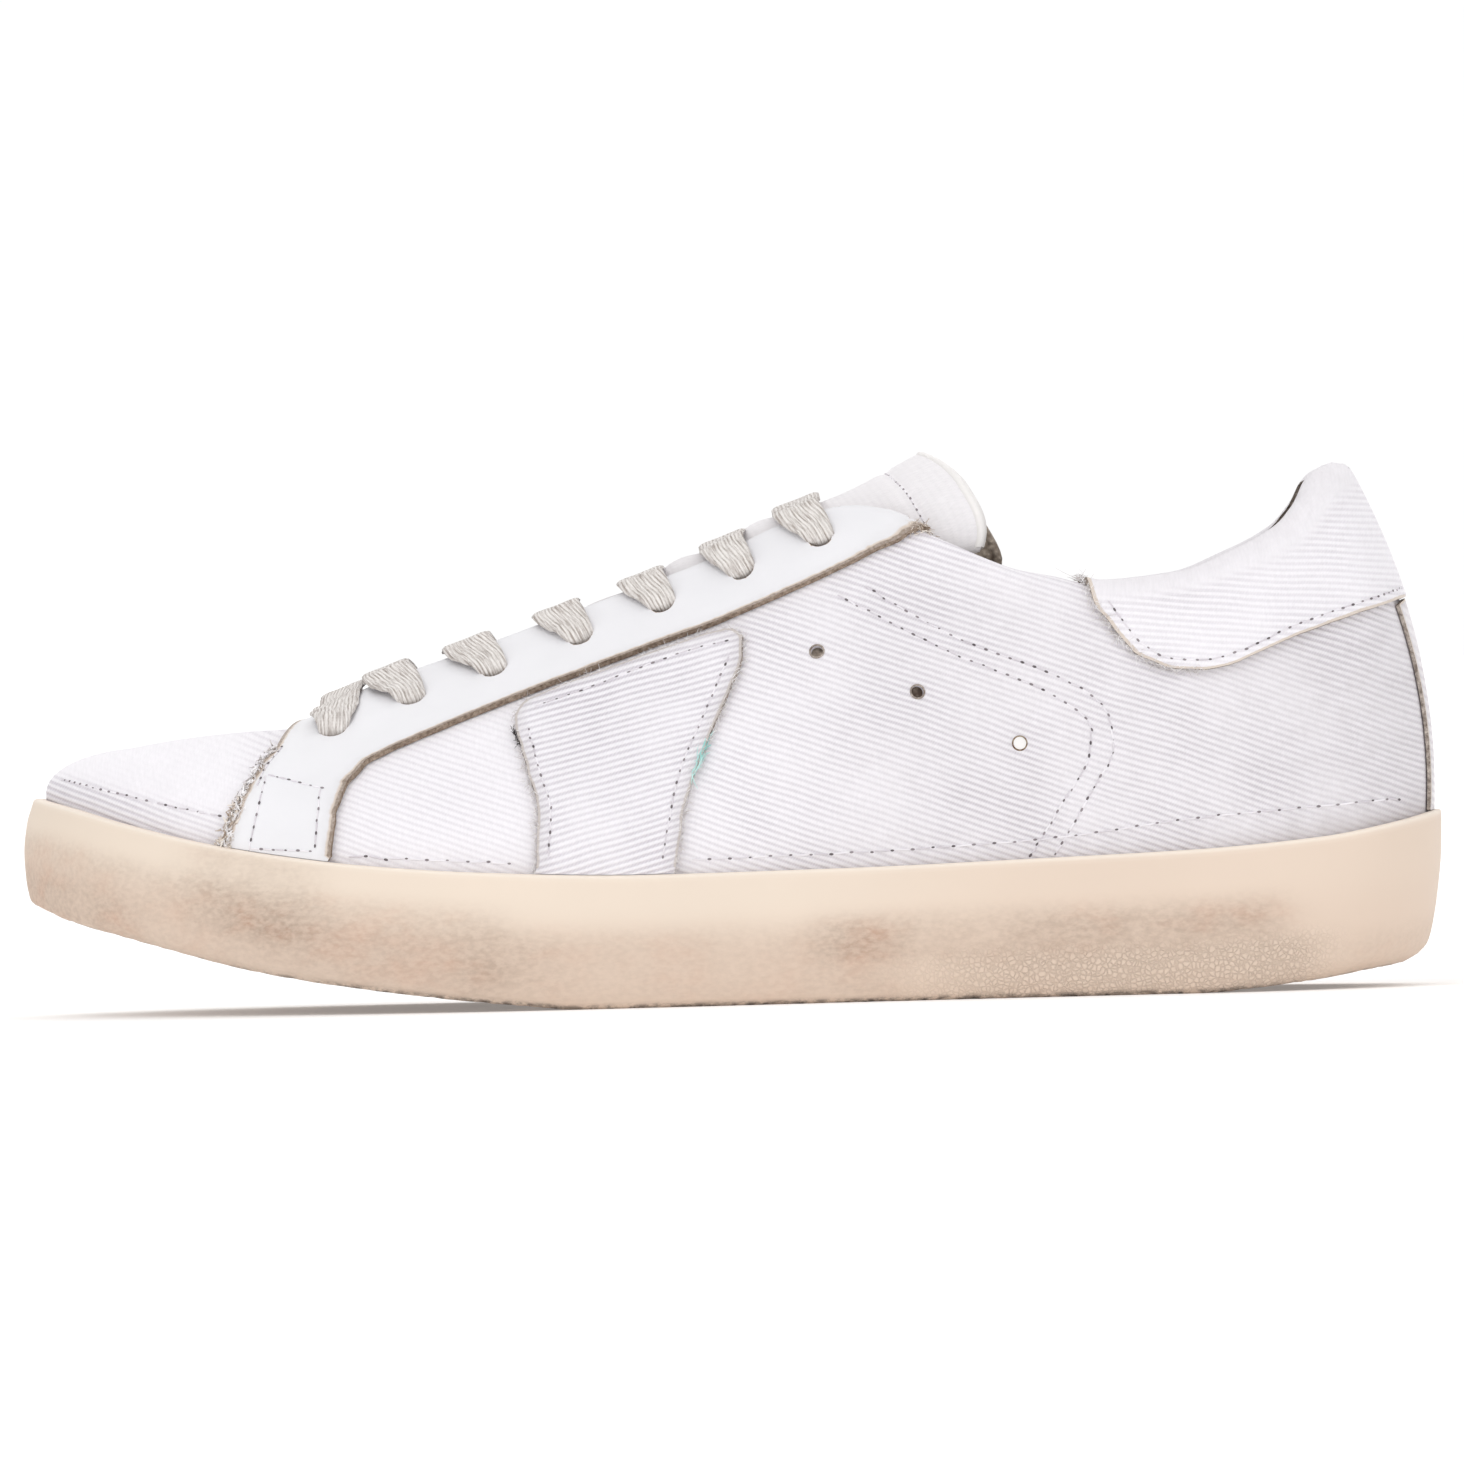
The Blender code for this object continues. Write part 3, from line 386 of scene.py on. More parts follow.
    def find(self, points: Any, side: int) -> Array:
        """Pattern shares (v, r) of the face's points that the side view shows at the given (x, z)."""
        points = np.asarray(points, float).reshape(-1, 2)
        flat = self.sampled[side][..., (0, 2)].reshape(-1, 2)
        guess = np.array([np.argmin(((flat - p) ** 2).sum(1)) for p in points])
        v = self.grid_v[guess // len(self.grid_r)].copy()
        r = self.grid_r[guess % len(self.grid_r)].copy()
        step = 1e-4
        for _ in range(6):
            dv, dr = (move[..., (0, 2)] / (np.clip(s + step, 0, 1) - np.clip(s - step, 0, 1))[:, None]
                      for move, s in zip(self.steps(v, r, side, step), (v, r)))
            miss = points - self.skin(v, r, side)[..., (0, 2)]
            det = dv[:, 0] * dr[:, 1] - dv[:, 1] * dr[:, 0]
            det = np.where(np.abs(det) < 1e-3, 1e-3, det)
            a = (miss[:, 0] * dr[:, 1] - miss[:, 1] * dr[:, 0]) / det
            b = (dv[:, 0] * miss[:, 1] - dv[:, 1] * miss[:, 0]) / det
            v = np.clip(v + np.clip(a, -0.02, 0.02), 0, 1)
            r = np.clip(r + np.clip(b, -0.05, 0.05), 0, 1)
        return np.stack([v, r], -1)

    def pattern(self, shares: Array) -> Array:
        """Shares (v, r) as millimetres on the flat pattern plane."""
        return shares * np.array([self.run, self.rise])

    def padding(self, x: Any, z: Any) -> Array:
        """Thickness of the upper's wall, padded round the collar."""
        ankle = np.clip((np.asarray(x) - 46) / 20, 0, 1)
        depth = np.clip(1 - (profile(self.TOP_HEIGHT, x) - np.asarray(z) - 6) / 26, 0, 1)
        return self.wall + (self.pad - self.wall) * ankle * depth

    def columns(self, count: int) -> Array:
        """Shares of a side's columns, one of them exactly at the throat's front."""
        even = np.linspace(0, 1, count + 1)
        shares = 0.8 * even + 0.2 * 0.5 * (1 - np.cos(np.pi * even))
        shares[np.abs(shares - self.v_throat).argmin()] = self.v_throat
        return shares


# ---------------------------------------------------------------------------------------------------------------
# The bench: how meshes are made


def set_down() -> None:
    """Leave edit mode and deselect everything."""
    if bpy.context.object and bpy.context.object.mode != "OBJECT":
        bpy.ops.object.mode_set(mode="OBJECT")
    bpy.ops.object.select_all(action="DESELECT")


def take_up(piece: Piece) -> None:
    """Make one piece the selected and active one."""
    set_down()
    piece.select_set(True)
    bpy.context.view_layer.objects.active = piece


@contextmanager
def editing(piece: Piece, select: str = "SELECT") -> Iterator[None]:
    """Edit mode on one piece, with all of it selected, or none of it for DESELECT."""
    take_up(piece)
    bpy.ops.object.mode_set(mode="EDIT")
    bpy.ops.mesh.select_all(action=select)
    yield
    bpy.ops.object.mode_set(mode="OBJECT")


def started(name: str, primitive: Callable[..., Any], **settings: Any) -> Piece:
    """Add a primitive and name it."""
    set_down()
    primitive(**settings)
    piece = bpy.context.object
    piece.name = piece.data.name = name
    return piece


def split(at: float, axis: int = 0) -> None:
    """Divide the faces of the piece in edit mode by a plane square to one axis, at so many millimetres."""
    way = tuple(float(k == axis) for k in range(3))
    bpy.ops.mesh.select_all(action="SELECT")
    bpy.ops.mesh.bisect(plane_co=tuple(float(at) * MM * w for w in way), plane_no=way)


def rod(name: str, primitive: Callable[..., Any], rings: Sequence[float], **settings: Any) -> Piece:
    """A thin open rod along +X from an upright primitive, with rings of points at the given millimetres."""
    piece = started(name, primitive, end_fill_type="NOTHING", rotation=(0, math.pi / 2, 0), **settings)
    bpy.ops.object.transform_apply(location=False, rotation=True, scale=False)
    with editing(piece):
        for at in rings:
            split(at)
    return piece


def place_points(piece: Piece, points: Array) -> None:
    """Put a piece's vertices at millimetre points."""
    piece.data.vertices.foreach_set("co", (np.asarray(points, float).reshape(-1, 3) * MM).ravel())
    piece.data.update()


def lay_cloth(piece: Piece, coordinates: Array) -> None:
    """Give every vertex its place on the cloth, in millimetres, as the piece's UV map."""
    mesh = piece.data
    layer = mesh.uv_layers[0] if mesh.uv_layers else mesh.uv_layers.new(name="Cloth")
    layer.name = "Cloth"
    index = np.zeros(len(mesh.loops), int)
    mesh.loops.foreach_get("vertex_index", index)
    layer.data.foreach_set("uv", np.asarray(coordinates, float).reshape(-1, 2)[index].ravel())


def paint(piece: Piece, name: str, values: Array) -> None:
    """Store one number per vertex for the piece's material to read."""
    made = piece.data.attributes.get(name) or piece.data.attributes.new(name, "FLOAT", "POINT")
    made.data.foreach_set("value", np.asarray(values, float).ravel())


def points_of(piece: Piece) -> Array:
    """A piece's vertices in millimetres."""
    places = np.zeros(len(piece.data.vertices) * 3)
    piece.data.vertices.foreach_get("co", places)
    return places.reshape(-1, 3) / MM


def sheet(name: str, places: Array, cloth: Array | None = None, marks: dict[str, Array] | None = None) -> Piece:
    """A grid primitive with one vertex at each place.

    Args:
        name: Name of the piece.
        places: Points in millimetres, by column and row.
        cloth: Cloth coordinates of the same points, if the material follows them.
        marks: Numbers per point that the material reads.

    Returns:
        The sheet, with the points that meet merged.
    """
    columns, rows = places.shape[:2]
    piece = started(name, bpy.ops.mesh.primitive_grid_add, x_subdivisions=rows - 1, y_subdivisions=columns - 1, size=1)
    place_points(piece, places)
    if cloth is not None:
        lay_cloth(piece, cloth)
    for key, values in (marks or {}).items():
        paint(piece, key, np.broadcast_to(values, (columns, rows)))
    merge(piece)
    return piece


def merge(piece: Piece, reach: float = 0.004) -> None:
    """Join the points of a piece that lie within reach of each other, in millimetres."""
    with editing(piece):
        bpy.ops.mesh.remove_doubles(threshold=reach * MM)
        bpy.ops.mesh.dissolve_degenerate(threshold=1e-7)


def face_like(piece: Piece, centre: Sequence[float]) -> None:
    """Turn a sheet over if most of it faces the given point, in millimetres."""
    mesh = piece.data
    middle, way = np.zeros(len(mesh.polygons) * 3), np.zeros(len(mesh.polygons) * 3)
    mesh.polygons.foreach_get("center", middle)
    mesh.polygons.foreach_get("normal", way)
    outward = middle.reshape(-1, 3) / MM - np.asarray(centre, float)
    if (outward * way.reshape(-1, 3)).sum() < 0:
        flip(piece)


def flip(piece: Piece) -> None:
    """Turn all faces of a piece over."""
    with editing(piece):
        bpy.ops.mesh.flip_normals()


def close_ends(piece: Piece) -> None:
    """Fill the open ends of a tube and point its faces outwards."""
    with editing(piece, "DESELECT"):
        bpy.ops.mesh.select_non_manifold(extend=False, use_wire=False, use_multi_face=False, use_verts=False,
                                         use_non_contiguous=False)
        bpy.ops.mesh.fill_holes(sides=0)
    face_out(piece)


def face_out(piece: Piece) -> None:
    """Point the faces of a closed piece outwards."""
    with editing(piece):
        bpy.ops.mesh.normals_make_consistent(inside=False)


def apply(piece: Piece, kind: str, **settings: Any) -> None:
    """Add one modifier with its settings and apply it."""
    take_up(piece)
    made = piece.modifiers.new(kind.title(), kind)
    for key, value in settings.items():
        setattr(made, key, value)
    bpy.ops.object.modifier_apply(modifier=made.name)


def dress(piece: Piece, finishes: Sequence[Material]) -> None:
    """Put a piece's materials on its slots, in order."""
    while len(piece.data.materials) < len(finishes):
        piece.data.materials.append(None)
    for k, finish in enumerate(finishes):
        piece.data.materials[k] = finish


def give_wall(piece: Piece, thickness: float, outwards: bool, edge_slot: int = 0) -> None:
    """Give a sheet its thickness, with its edge faces on their own material slot."""
    apply(piece, "SOLIDIFY", thickness=thickness * MM, offset=1.0 if outwards else -1.0, use_rim=True,
          use_even_offset=False, material_offset_rim=edge_slot)


def join(name: str, pieces: Sequence[Piece]) -> Piece:
    """Join pieces into one."""
    set_down()
    for piece in pieces:
        piece.select_set(True)
    bpy.context.view_layer.objects.active = pieces[0]
    if len(pieces) > 1:
        bpy.ops.object.join()
    pieces[0].name = pieces[0].data.name = name
    return pieces[0]


def cut_from_pattern(name: str, outline: Array, step: float) -> Piece:
    """A flat piece cut to its outline and squared up into small faces.

    Args:
        name: Name of the piece.
        outline: The outline on the pattern plane, in millimetres.
        step: Size of the faces, in millimetres.

    Returns:
        The flat piece, still on the pattern plane.
    """
    piece = started(name, bpy.ops.mesh.primitive_circle_add, vertices=len(outline), radius=1, fill_type="NGON")
    place_points(piece, np.column_stack([outline, np.zeros(len(outline))]))
    with editing(piece):
        for axis in (0, 1):
            low, high = outline[:, axis].min(), outline[:, axis].max()
            for at in np.arange(math.ceil(low / step) * step, high, step):
                split(at, axis)
        bpy.ops.mesh.select_all(action="SELECT")
        bpy.ops.mesh.remove_doubles(threshold=0.02 * MM)
    return piece


def hand_over(piece: Piece, finishes: Sequence[Material], slot: str,
              stands_for: Sequence[str] = (), angle: float = 40.0) -> Piece:
    """Dress a finished piece, shade it and hang it on the shoe.

    Args:
        piece: The piece, with its place in its mesh.
        finishes: Its materials, in slot order.
        slot: The record's material slot; it is not used.
        stands_for: The solid nodes that it replaces.
        angle: The steepest angle between faces that is still shaded smooth.

    Returns:
        The same piece.
    """
    dress(piece, finishes)
    take_up(piece)
    bpy.ops.object.shade_smooth_by_angle(angle=math.radians(angle))
    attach(piece, "root")
    if stands_for:
        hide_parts(*stands_for)
    LOG.info("%s: %d faces", piece.name, len(piece.data.polygons))
    return piece


def scatter(name: str, template: Piece, frames: Array, bends: Array | None = None) -> Piece:
    """Copies of one small modelled shape, joined as one piece.

    Args:
        name: Name of the joined piece.
        template: The shape, modelled at the origin along +X with +Z up; it is removed.
        frames: One 3 x 4 matrix per copy, columns being its x, y and z axes and its place, in millimetres.
        bends: Sideways shift (y, z) of each copy's far end, in millimetres.

    Returns:
        The joined piece.
    """
    base = points_of(template)
    faces = [list(p.vertices) for p in template.data.polygons]
    slots = [p.material_index for p in template.data.polygons]
    many = np.repeat(base[None], len(frames), 0)
    if bends is not None:
        low, high = base[:, 0].min(), base[:, 0].max()
        share = ((base[:, 0] - low) / (high - low))[None, :, None]
        many[..., 1:] += bends[:, None, :] * share ** 2
    points = np.einsum("nij,nkj->nki", frames[:, :, :3], many) + frames[:, None, :, 3]
    count = len(base)
    mesh = bpy.data.meshes.new(name)
    mesh.from_pydata((points.reshape(-1, 3) * MM).tolist(), [],
                     [[i + k * count for i in f] for k in range(len(frames)) for f in faces])
    mesh.polygons.foreach_set("material_index", slots * len(frames))
    piece = bpy.data.objects.new(name, mesh)
    bpy.context.scene.collection.objects.link(piece)
    paint(piece, "chance", np.repeat(np.random.default_rng(5).random(len(frames)), count))
    bpy.data.objects.remove(template, do_unlink=True)
    return piece


# ---------------------------------------------------------------------------------------------------------------
# Finishes


def linear(colour: str) -> tuple[float, float, float, float]:
    """An sRGB hex colour as linear red, green, blue and alpha."""
    parts = [int(colour[k:k + 2], 16) / 255 for k in (1, 3, 5)]
    return (*[c / 12.92 if c <= 0.04045 else ((c + 0.055) / 1.055) ** 2.4 for c in parts], 1.0)


class Recipe:
    """The node tree of one material, or of the world, while it is put together."""

    # What these kinds of node are set to unless a call says otherwise
    USUAL: ClassVar = {"Math": {"operation": "MULTIPLY"}, "VectorMath": {"operation": "MULTIPLY"},
                       "Mix": {"data_type": "RGBA"}}

    def __init__(self, owner: Any) -> None:
        """Start with an empty tree."""
        owner.use_nodes = True
        self.owner, self.tree = owner, owner.node_tree
        self.tree.nodes.clear()

    def add(self, kind: str, *values: Any, out: str = "", **named: Any) -> Socket | None:
        """Add one node with its settings and links.

        Args:
            kind: The node's type, without its common start.
            values: Its first inputs in order: numbers, sockets to link from, sRGB hex colours, or names of numbers
                that are painted on the piece's points.
            out: Name of the output to carry on from, where it isn't the first.
            named: Settings of the node, and more inputs, which start with a capital and have underscores for spaces.

        Returns:
            The output to carry on from, if the node has one.
        """
        node = self.tree.nodes.new(f"ShaderNode{kind}")
        more = {key.replace("_", " "): named.pop(key) for key in list(named) if key[0].isupper()}
        for key, value in {**self.USUAL.get(kind, {}), **named}.items():
            setattr(node, key, value)
        shown = [socket for socket in node.inputs if socket.enabled]
        for socket, value in [*zip(shown, values), *((node.inputs[key], value) for key, value in more.items())]:
            if isinstance(value, str):
                value = linear(value) if value[0] == "#" else self.add("Attribute", attribute_name=value, out="Fac")
            if isinstance(value, Socket):
                self.tree.links.new(value, socket)
            else:
                socket.default_value = value
        return node.outputs[out] if out else next((socket for socket in node.outputs if socket.enabled), None)

    def place(self) -> Socket:
        """Object coordinates in millimetres."""
        return self.add("VectorMath", self.add("TexCoord", out="Object"), (1 / MM,) * 3)

    def stripes(self, value: Any, pitch: float) -> Socket:
        """A wave from -1 to 1 that repeats every pitch, in millimetres."""
        return self.add("Math", self.add("Math", value, 2 * math.pi / pitch), operation="SINE")

    def done(self, **shader: Any) -> Material:
        """Close a material's tree with its shader."""
        self.add("OutputMaterial", Surface=self.add("BsdfPrincipled", **shader))
        return self.owner


@dataclass(frozen=True)
class Finish:
    """A finish that is made as a material of its own name."""

    name: str

    def start(self) -> tuple[Recipe, Callable[..., Any]]:
        """The recipe of its material, and the function that adds a node to it."""
        recipe = Recipe(bpy.data.materials.new(self.name))
        return recipe, recipe.add


@dataclass(frozen=True)
class RibbedTwill(Finish):
    """White cotton twill woven with raised ribs, washed and worn: matte, with painted grey shade in the thin grooves
    that follow the cloth.
    """

    name: str = "cotton_twill_woven_white"
    face: str = "#F9F6FA"
    # painted shade: the grey laid in the grooves between the ribs
    groove: str = "#BDB4BF"
    # grey of dirt, and of painted shade where a piece paints shade with it
    soil: str = "#A79F9F"
    hem: str = "#D9CBBD"
    pitch: float = 1.29  # millimetres from rib to rib
    turn: float = 20.0  # degrees that the ribs fall towards the heel
    depth: float = 0.17  # millimetres
    contrast: float = 0.56
    hem_width: float = 0.0  # millimetres of unbleached cut edge that shows

    def build(self) -> Material:
        """Make the material.

        Returns:
            The material, which reads the piece's cloth coordinates and its marks soil, plain and, with a hem, edge.
        """
        r, add = self.start()
        turn = math.radians(self.turn)
        cloth = add("UVMap", uv_map="Cloth")
        across = add("SeparateXYZ", cloth)
        up = across.node.outputs["Y"]
        tilt = add("Math", across, math.tan(turn), up, operation="MULTIPLY_ADD")
        wave = add("Math", add("TexNoise", cloth, 1 / 33), 2.2, tilt, operation="MULTIPLY_ADD")
        rib = add("MapRange", r.stripes(wave, self.pitch * math.cos(turn) ** -1), -1.0, 0.5)
        # Threads cross the ribs at about 0.4 mm; they are drawn at 0.62 mm so that they show
        cross = r.stripes(add("Math", up, -0.75, across, operation="MULTIPLY_ADD"), 0.62)
        twisted = add("Mapping", cloth, Rotation=(0, 0, math.radians(38)), Scale=(2.2, 0.5, 1.0))
        thread = add("TexNoise", twisted, 1.0, 3.0)
        worn = add("MapRange", add("TexNoise", cloth, 1 / 26, 3.0, 0.6), 0.35, 0.65, 0.45)
        patterned = add("Math", 1.0, "plain", operation="SUBTRACT", use_clamp=True)
        seen = add("Math", patterned, worn)
        # painted shade: the grooves between the ribs, and the cross threads, drawn towards the groove grey
        woven = add("Math", cross, 0.14, add("Math", 1.0, rib, operation="SUBTRACT"), operation="MULTIPLY_ADD")
        shade = add("Math", woven, seen)
        amount = add("Math", shade, self.contrast, use_clamp=True)
        colour = add("Mix", amount, self.face, self.groove)
        tone = add("MapRange", thread, 0.35, 0.65, 0.955)
        colour = add("Mix", 1.0, colour, tone, blend_type="MULTIPLY")
        blot = add("MapRange", add("TexNoise", cloth, 1 / 4, 5.0, 0.65), 0.3, 0.75, 0.6, 1.15)
        # greyed by the piece's mark: dirt, with painted shade on the upper cloth and the tongue
        greyed = add("Math", "soil", blot, use_clamp=True)
        colour = add("Mix", greyed, colour, self.soil)
        if self.hem_width:
            ragged = add("Math", thread, -0.5, "edge", operation="MULTIPLY_ADD")
            shown = add("MapRange", ragged, self.hem_width - 0.4, self.hem_width - 0.15, 0.85, 0.0)
            colour = add("Mix", shown, colour, self.hem)
        relief = add("Math", cross, 0.07, add("Math", rib, seen), operation="MULTIPLY_ADD")
        relief = add("Math", thread, 0.3, relief, operation="MULTIPLY_ADD")
        return r.done(Base_Color=colour, Roughness=0.86, IOR=1.46, Sheen_Weight=0.12, Specular_IOR_Level=0.3,
                      Normal=add("Bump", Height=relief, Distance=self.depth * MM))


@dataclass(frozen=True)
class CoatedLeather(Finish):
    """White finished calf leather, pressed smooth: soft low gloss, a faint pebble, and a brown line at its cut edge
    with a thin tan line inside it, the edge's tan lightened as a painted highlight.
    """

    name: str = "calf_leather_coated_white"
    face: str = "#EFEEF1"
    soil: str = "#A39A96"
    # painted highlight: the light tan line along the top of the cut edge
    tan: str = "#D3C2B2"
    raw: str = "#8F7E70"
    pale_raw: str = "#AFA095"
    line: float = 0.75  # millimetres of raw edge that shows on the face

    def build(self) -> Material:
        """Make the material, which reads the marks edge (millimetres from the cut) and soil."""
        r, add = self.start()
        place = r.place()
        cloud, fine = add("TexNoise", place, 1 / 22, 4.0), add("TexNoise", place, 1 / 1.6, 4.0)
        ragged = add("Math", fine, -0.8, "edge", operation="MULTIPLY_ADD")
        tone = add("MapRange", cloud, 0.3, 0.7, 0.95)
        colour = add("Mix", 1.0, self.face, tone, blend_type="MULTIPLY")
        greyed = add("Math", "soil", fine, use_clamp=True)
        colour = add("Mix", greyed, colour, self.soil)
        # painted highlight along the cut edge's top, in tan
        shown = add("MapRange", ragged, self.line - 0.3, self.line + 0.1, 0.85, 0.0)
        colour = add("Mix", shown, colour, self.tan)
        fibre = add("MapRange", add("TexNoise", place, 1 / 0.6, 3.0), 0.35, 0.65)
        shown = add("MapRange", ragged, self.line - 0.6, self.line - 0.4, 1.0, 0.0)
        fibre = add("Mix", fibre, self.raw, self.pale_raw)
        colour = add("Mix", shown, colour, fibre)
        grain = add("TexVoronoi", place, 1 / 1.1, feature="SMOOTH_F1")
        pebble = add("Bump", Height=grain, Distance=0.05 * MM, Strength=0.5)
        return r.done(Base_Color=colour, Roughness=0.5, IOR=1.5,
                      Normal=add("Bump", Height=cloud, Distance=0.5 * MM, Strength=0.35, Normal=pebble))


@dataclass(frozen=True)
class RawSplit(Finish):
    """The cut edge of leather or backed cloth, left unpainted: fibrous and dull, from brown to tan."""

    name: str = "leather_split_cut_raw"
    dark: str = "#7A695B"
    light: str = "#C3B19F"

    def build(self) -> Material:
        """Make the material."""
        r, add = self.start()
        fibre = add("TexNoise", r.place(), 1 / 0.9, 5.0, 0.7)
        colour = add("Mix", add("MapRange", fibre, 0.4, 0.75), self.dark, self.light)
        return r.done(Base_Color=colour, Roughness=0.93, Specular_IOR_Level=0.2,
                      Normal=add("Bump", Height=fibre, Distance=0.25 * MM, Strength=0.9))


@dataclass(frozen=True)
class AgedRubber(Finish):
    """Cream vulcanised rubber, moulded and then scuffed: satin where it is clean, brown and crumbly where it rubs, with
    a painted highlight along the top of its rim.
    """

    name: str = "rubber_vulcanised_cream_aged"
    clean: str = "#EDDDCC"
    dull: str = "#E4CFBD"
    scuff: str = "#AB9585"
    rust: str = "#C9A38D"
    split: str = "#8A705D"
    # painted highlight: the pale cream laid along the rim's top edge
    lip: str = "#F8ECDF"
    # the dark of dirt and painted contact shadow along the sole's foot
    soot_and_shadow: str = "#4E423A"

    def build(self) -> Material:
        """Make the material, which reads the marks scuff, crumb, low, lip and grime. The lip mark lays a painted
        highlight along the rim's top; the grime mark lays a dark line along the sole's foot, part dirt and part painted
        contact shadow.
        """
        r, add = self.start()
        place = r.place()
        cloud = add("TexNoise", place, 1 / 35, 3.0)
        along_foot = add("Mapping", place, Scale=(0.55, 0.8, 1.0))
        nap = add("TexNoise", along_foot, 1 / 0.9, 4.0, 0.55)
        patchy = add("TexNoise", along_foot, 1 / 9, 5.0, 0.62)
        warped = add("VectorMath", nap.node.outputs["Color"], (0.9,) * 3, place, operation="MULTIPLY_ADD")
        crack = add("MapRange", add("TexVoronoi", warped, 1.0, feature="DISTANCE_TO_EDGE"), 0.0, 0.2, 1.0, 0.0)
        colour = add("Mix", "low", self.clean, self.dull)
        tone = add("MapRange", cloud, 0.3, 0.7, 0.965)
        colour = add("Mix", 1.0, colour, tone, blend_type="MULTIPLY")
        worn = add("Math", add("MapRange", nap, 0.36, 0.64, 0.55), add("MapRange", patchy, 0.32, 0.68, 0.55, 1.15),)
        rubbed = add("Math", "scuff", worn, use_clamp=True)
        brown = add("Mix", add("MapRange", patchy, 0.48, 0.68, 0.0, 0.75), self.scuff, self.rust)
        colour = add("Mix", rubbed, colour, brown)
        split = add("Math", crack, "crumb", use_clamp=True)
        colour = add("Mix", add("Math", split, 0.3), colour, self.split)
        # painted highlight along the rim's top
        colour = add("Mix", "lip", colour, self.lip)
        # noise that breaks up the dark line of dirt and painted contact shadow along the sole's foot
        dirt = add("MapRange", add("TexNoise", place, 1 / 3.5, 4.0, 0.7), 0.4, 0.56)
        soot_and_shadow = add("Math", "grime", dirt, use_clamp=True)
        colour = add("Mix", soot_and_shadow, colour, self.soot_and_shadow)
        relief = add("Math", split, -0.8, add("Math", "scuff", nap), operation="MULTIPLY_ADD")
        rough = add("Bump", Height=relief, Distance=0.3 * MM, Strength=0.8)
        return r.done(Base_Color=colour, Roughness=add("MapRange", "scuff", 0.0, 1.0, 0.55, 0.92), IOR=1.52,
                      Normal=add("Bump", Height=cloud, Distance=0.6 * MM, Strength=0.3, Normal=rough))


@dataclass(frozen=True)
class Terry(Finish):
    """Looped cotton terry, brown-grey and trodden: no gloss, small dark and pale loops."""

    name: str = "cotton_terry_looped_grey"
    pale: str = "#CDBFB0"
    dark: str = "#6F5F53"
    loop: float = 0.9  # millimetres between loops

    def build(self) -> Material:
        """Make the material."""
        r, add = self.start()
        place = r.place()
        loops = add("TexVoronoi", place, 1 / self.loop, feature="SMOOTH_F1")
        mixed = add("Math", loops, 0.55, add("TexNoise", place, 1 / 9, 5.0), operation="MULTIPLY_ADD")
        colour = add("Mix", add("MapRange", mixed, 0.45, 0.95), self.pale, self.dark)
        pile = add("Math", 1.0, loops, operation="SUBTRACT")
        return r.done(Base_Color=colour, Roughness=0.97, Specular_IOR_Level=0.15, Sheen_Weight=0.3,
                      Normal=add("Bump", Height=pile, Distance=0.5 * MM))


@dataclass(frozen=True)
class LaceCotton(Finish):
    """Flat cotton lace woven in cords, grey-beige and grubby: lengthwise cords with thin lines of painted shade between
    them.
    """

    name: str = "cotton_tape_woven_grey"
    pale: str = "#F6F1ED"
    dark: str = "#ABA099"
    soil: str = "#6B5E56"
    cord: float = 0.8  # millimetres between lengthwise cords

    def build(self) -> Material:
        """Make the material, which reads the lace's cloth coordinates and its mark soil."""
        r, add = self.start()
        cloth = add("UVMap", uv_map="Cloth")
        across = add("SeparateXYZ", cloth)
        waved = add("Math", add("TexNoise", cloth, 1 / 4.5), 1.0, across, operation="MULTIPLY_ADD")
        streaks = add("Mapping", cloth, Scale=(2.2, 0.16, 1.0))
        dash = add("TexNoise", streaks, 1 / 0.8, 4.0, 0.6)
        weft = r.stripes(across.node.outputs["Y"], 0.9)
        height = add("Math", weft, 0.12, r.stripes(waved, self.cord), operation="MULTIPLY_ADD")
        # painted shade in the gaps between the cords, with dark dashes along them
        both = add("Math", add("MapRange", height, 0.0, -1.1), 0.5, add("MapRange", dash, 0.46, 0.66, 0.0, 0.8),
                   operation="MULTIPLY_ADD", use_clamp=True)
        colour = add("Mix", both, self.pale, self.dark)
        return r.done(Base_Color=add("Mix", "soil", colour, self.soil), Roughness=0.93,
                      Specular_IOR_Level=0.2, Sheen_Weight=0.2, Normal=add("Bump", Height=height, Distance=0.09 * MM))


@dataclass(frozen=True)
class Thread(Finish):
    """Twisted cotton sewing thread or loose fibre: dull, its tone changing from strand to strand."""

    pale: str
    dark: str

    def build(self) -> Material:
        """Make the material, which reads each strand's mark chance."""
        r, add = self.start()
        twist = add("TexNoise", r.place(), 1 / 0.5)
        mixed = add("MapRange", add("Math", twist, 0.4, "chance", operation="MULTIPLY_ADD"), 0.3, 1.25)
        return r.done(Base_Color=add("Mix", mixed, self.pale, self.dark), Roughness=0.9,
                      Specular_IOR_Level=0.2, Normal=add("Bump", Height=twist, Distance=0.05 * MM, Strength=0.6))


@dataclass(frozen=True)
class StampedMetal(Finish):
    """Stamped nickel ring with a rusty bloom: dull shine, brown in its hollows."""

    name: str = "nickel_stamped_tarnished"
    metal: str = "#A89A86"
    rust: str = "#6E5038"

    def build(self) -> Material:
        """Make the material."""
        r, add = self.start()
        bloom = add("TexNoise", r.place(), 1 / 0.8, 4.0)
        colour = add("Mix", add("MapRange", bloom, 0.42, 0.62), self.metal, self.rust)
        return r.done(Base_Color=colour, Metallic=1.0, Roughness=add("MapRange", bloom, 0.0, 1.0, 0.3, 0.7),
                      Normal=add("Bump", Height=bloom, Distance=0.06 * MM, Strength=0.5))


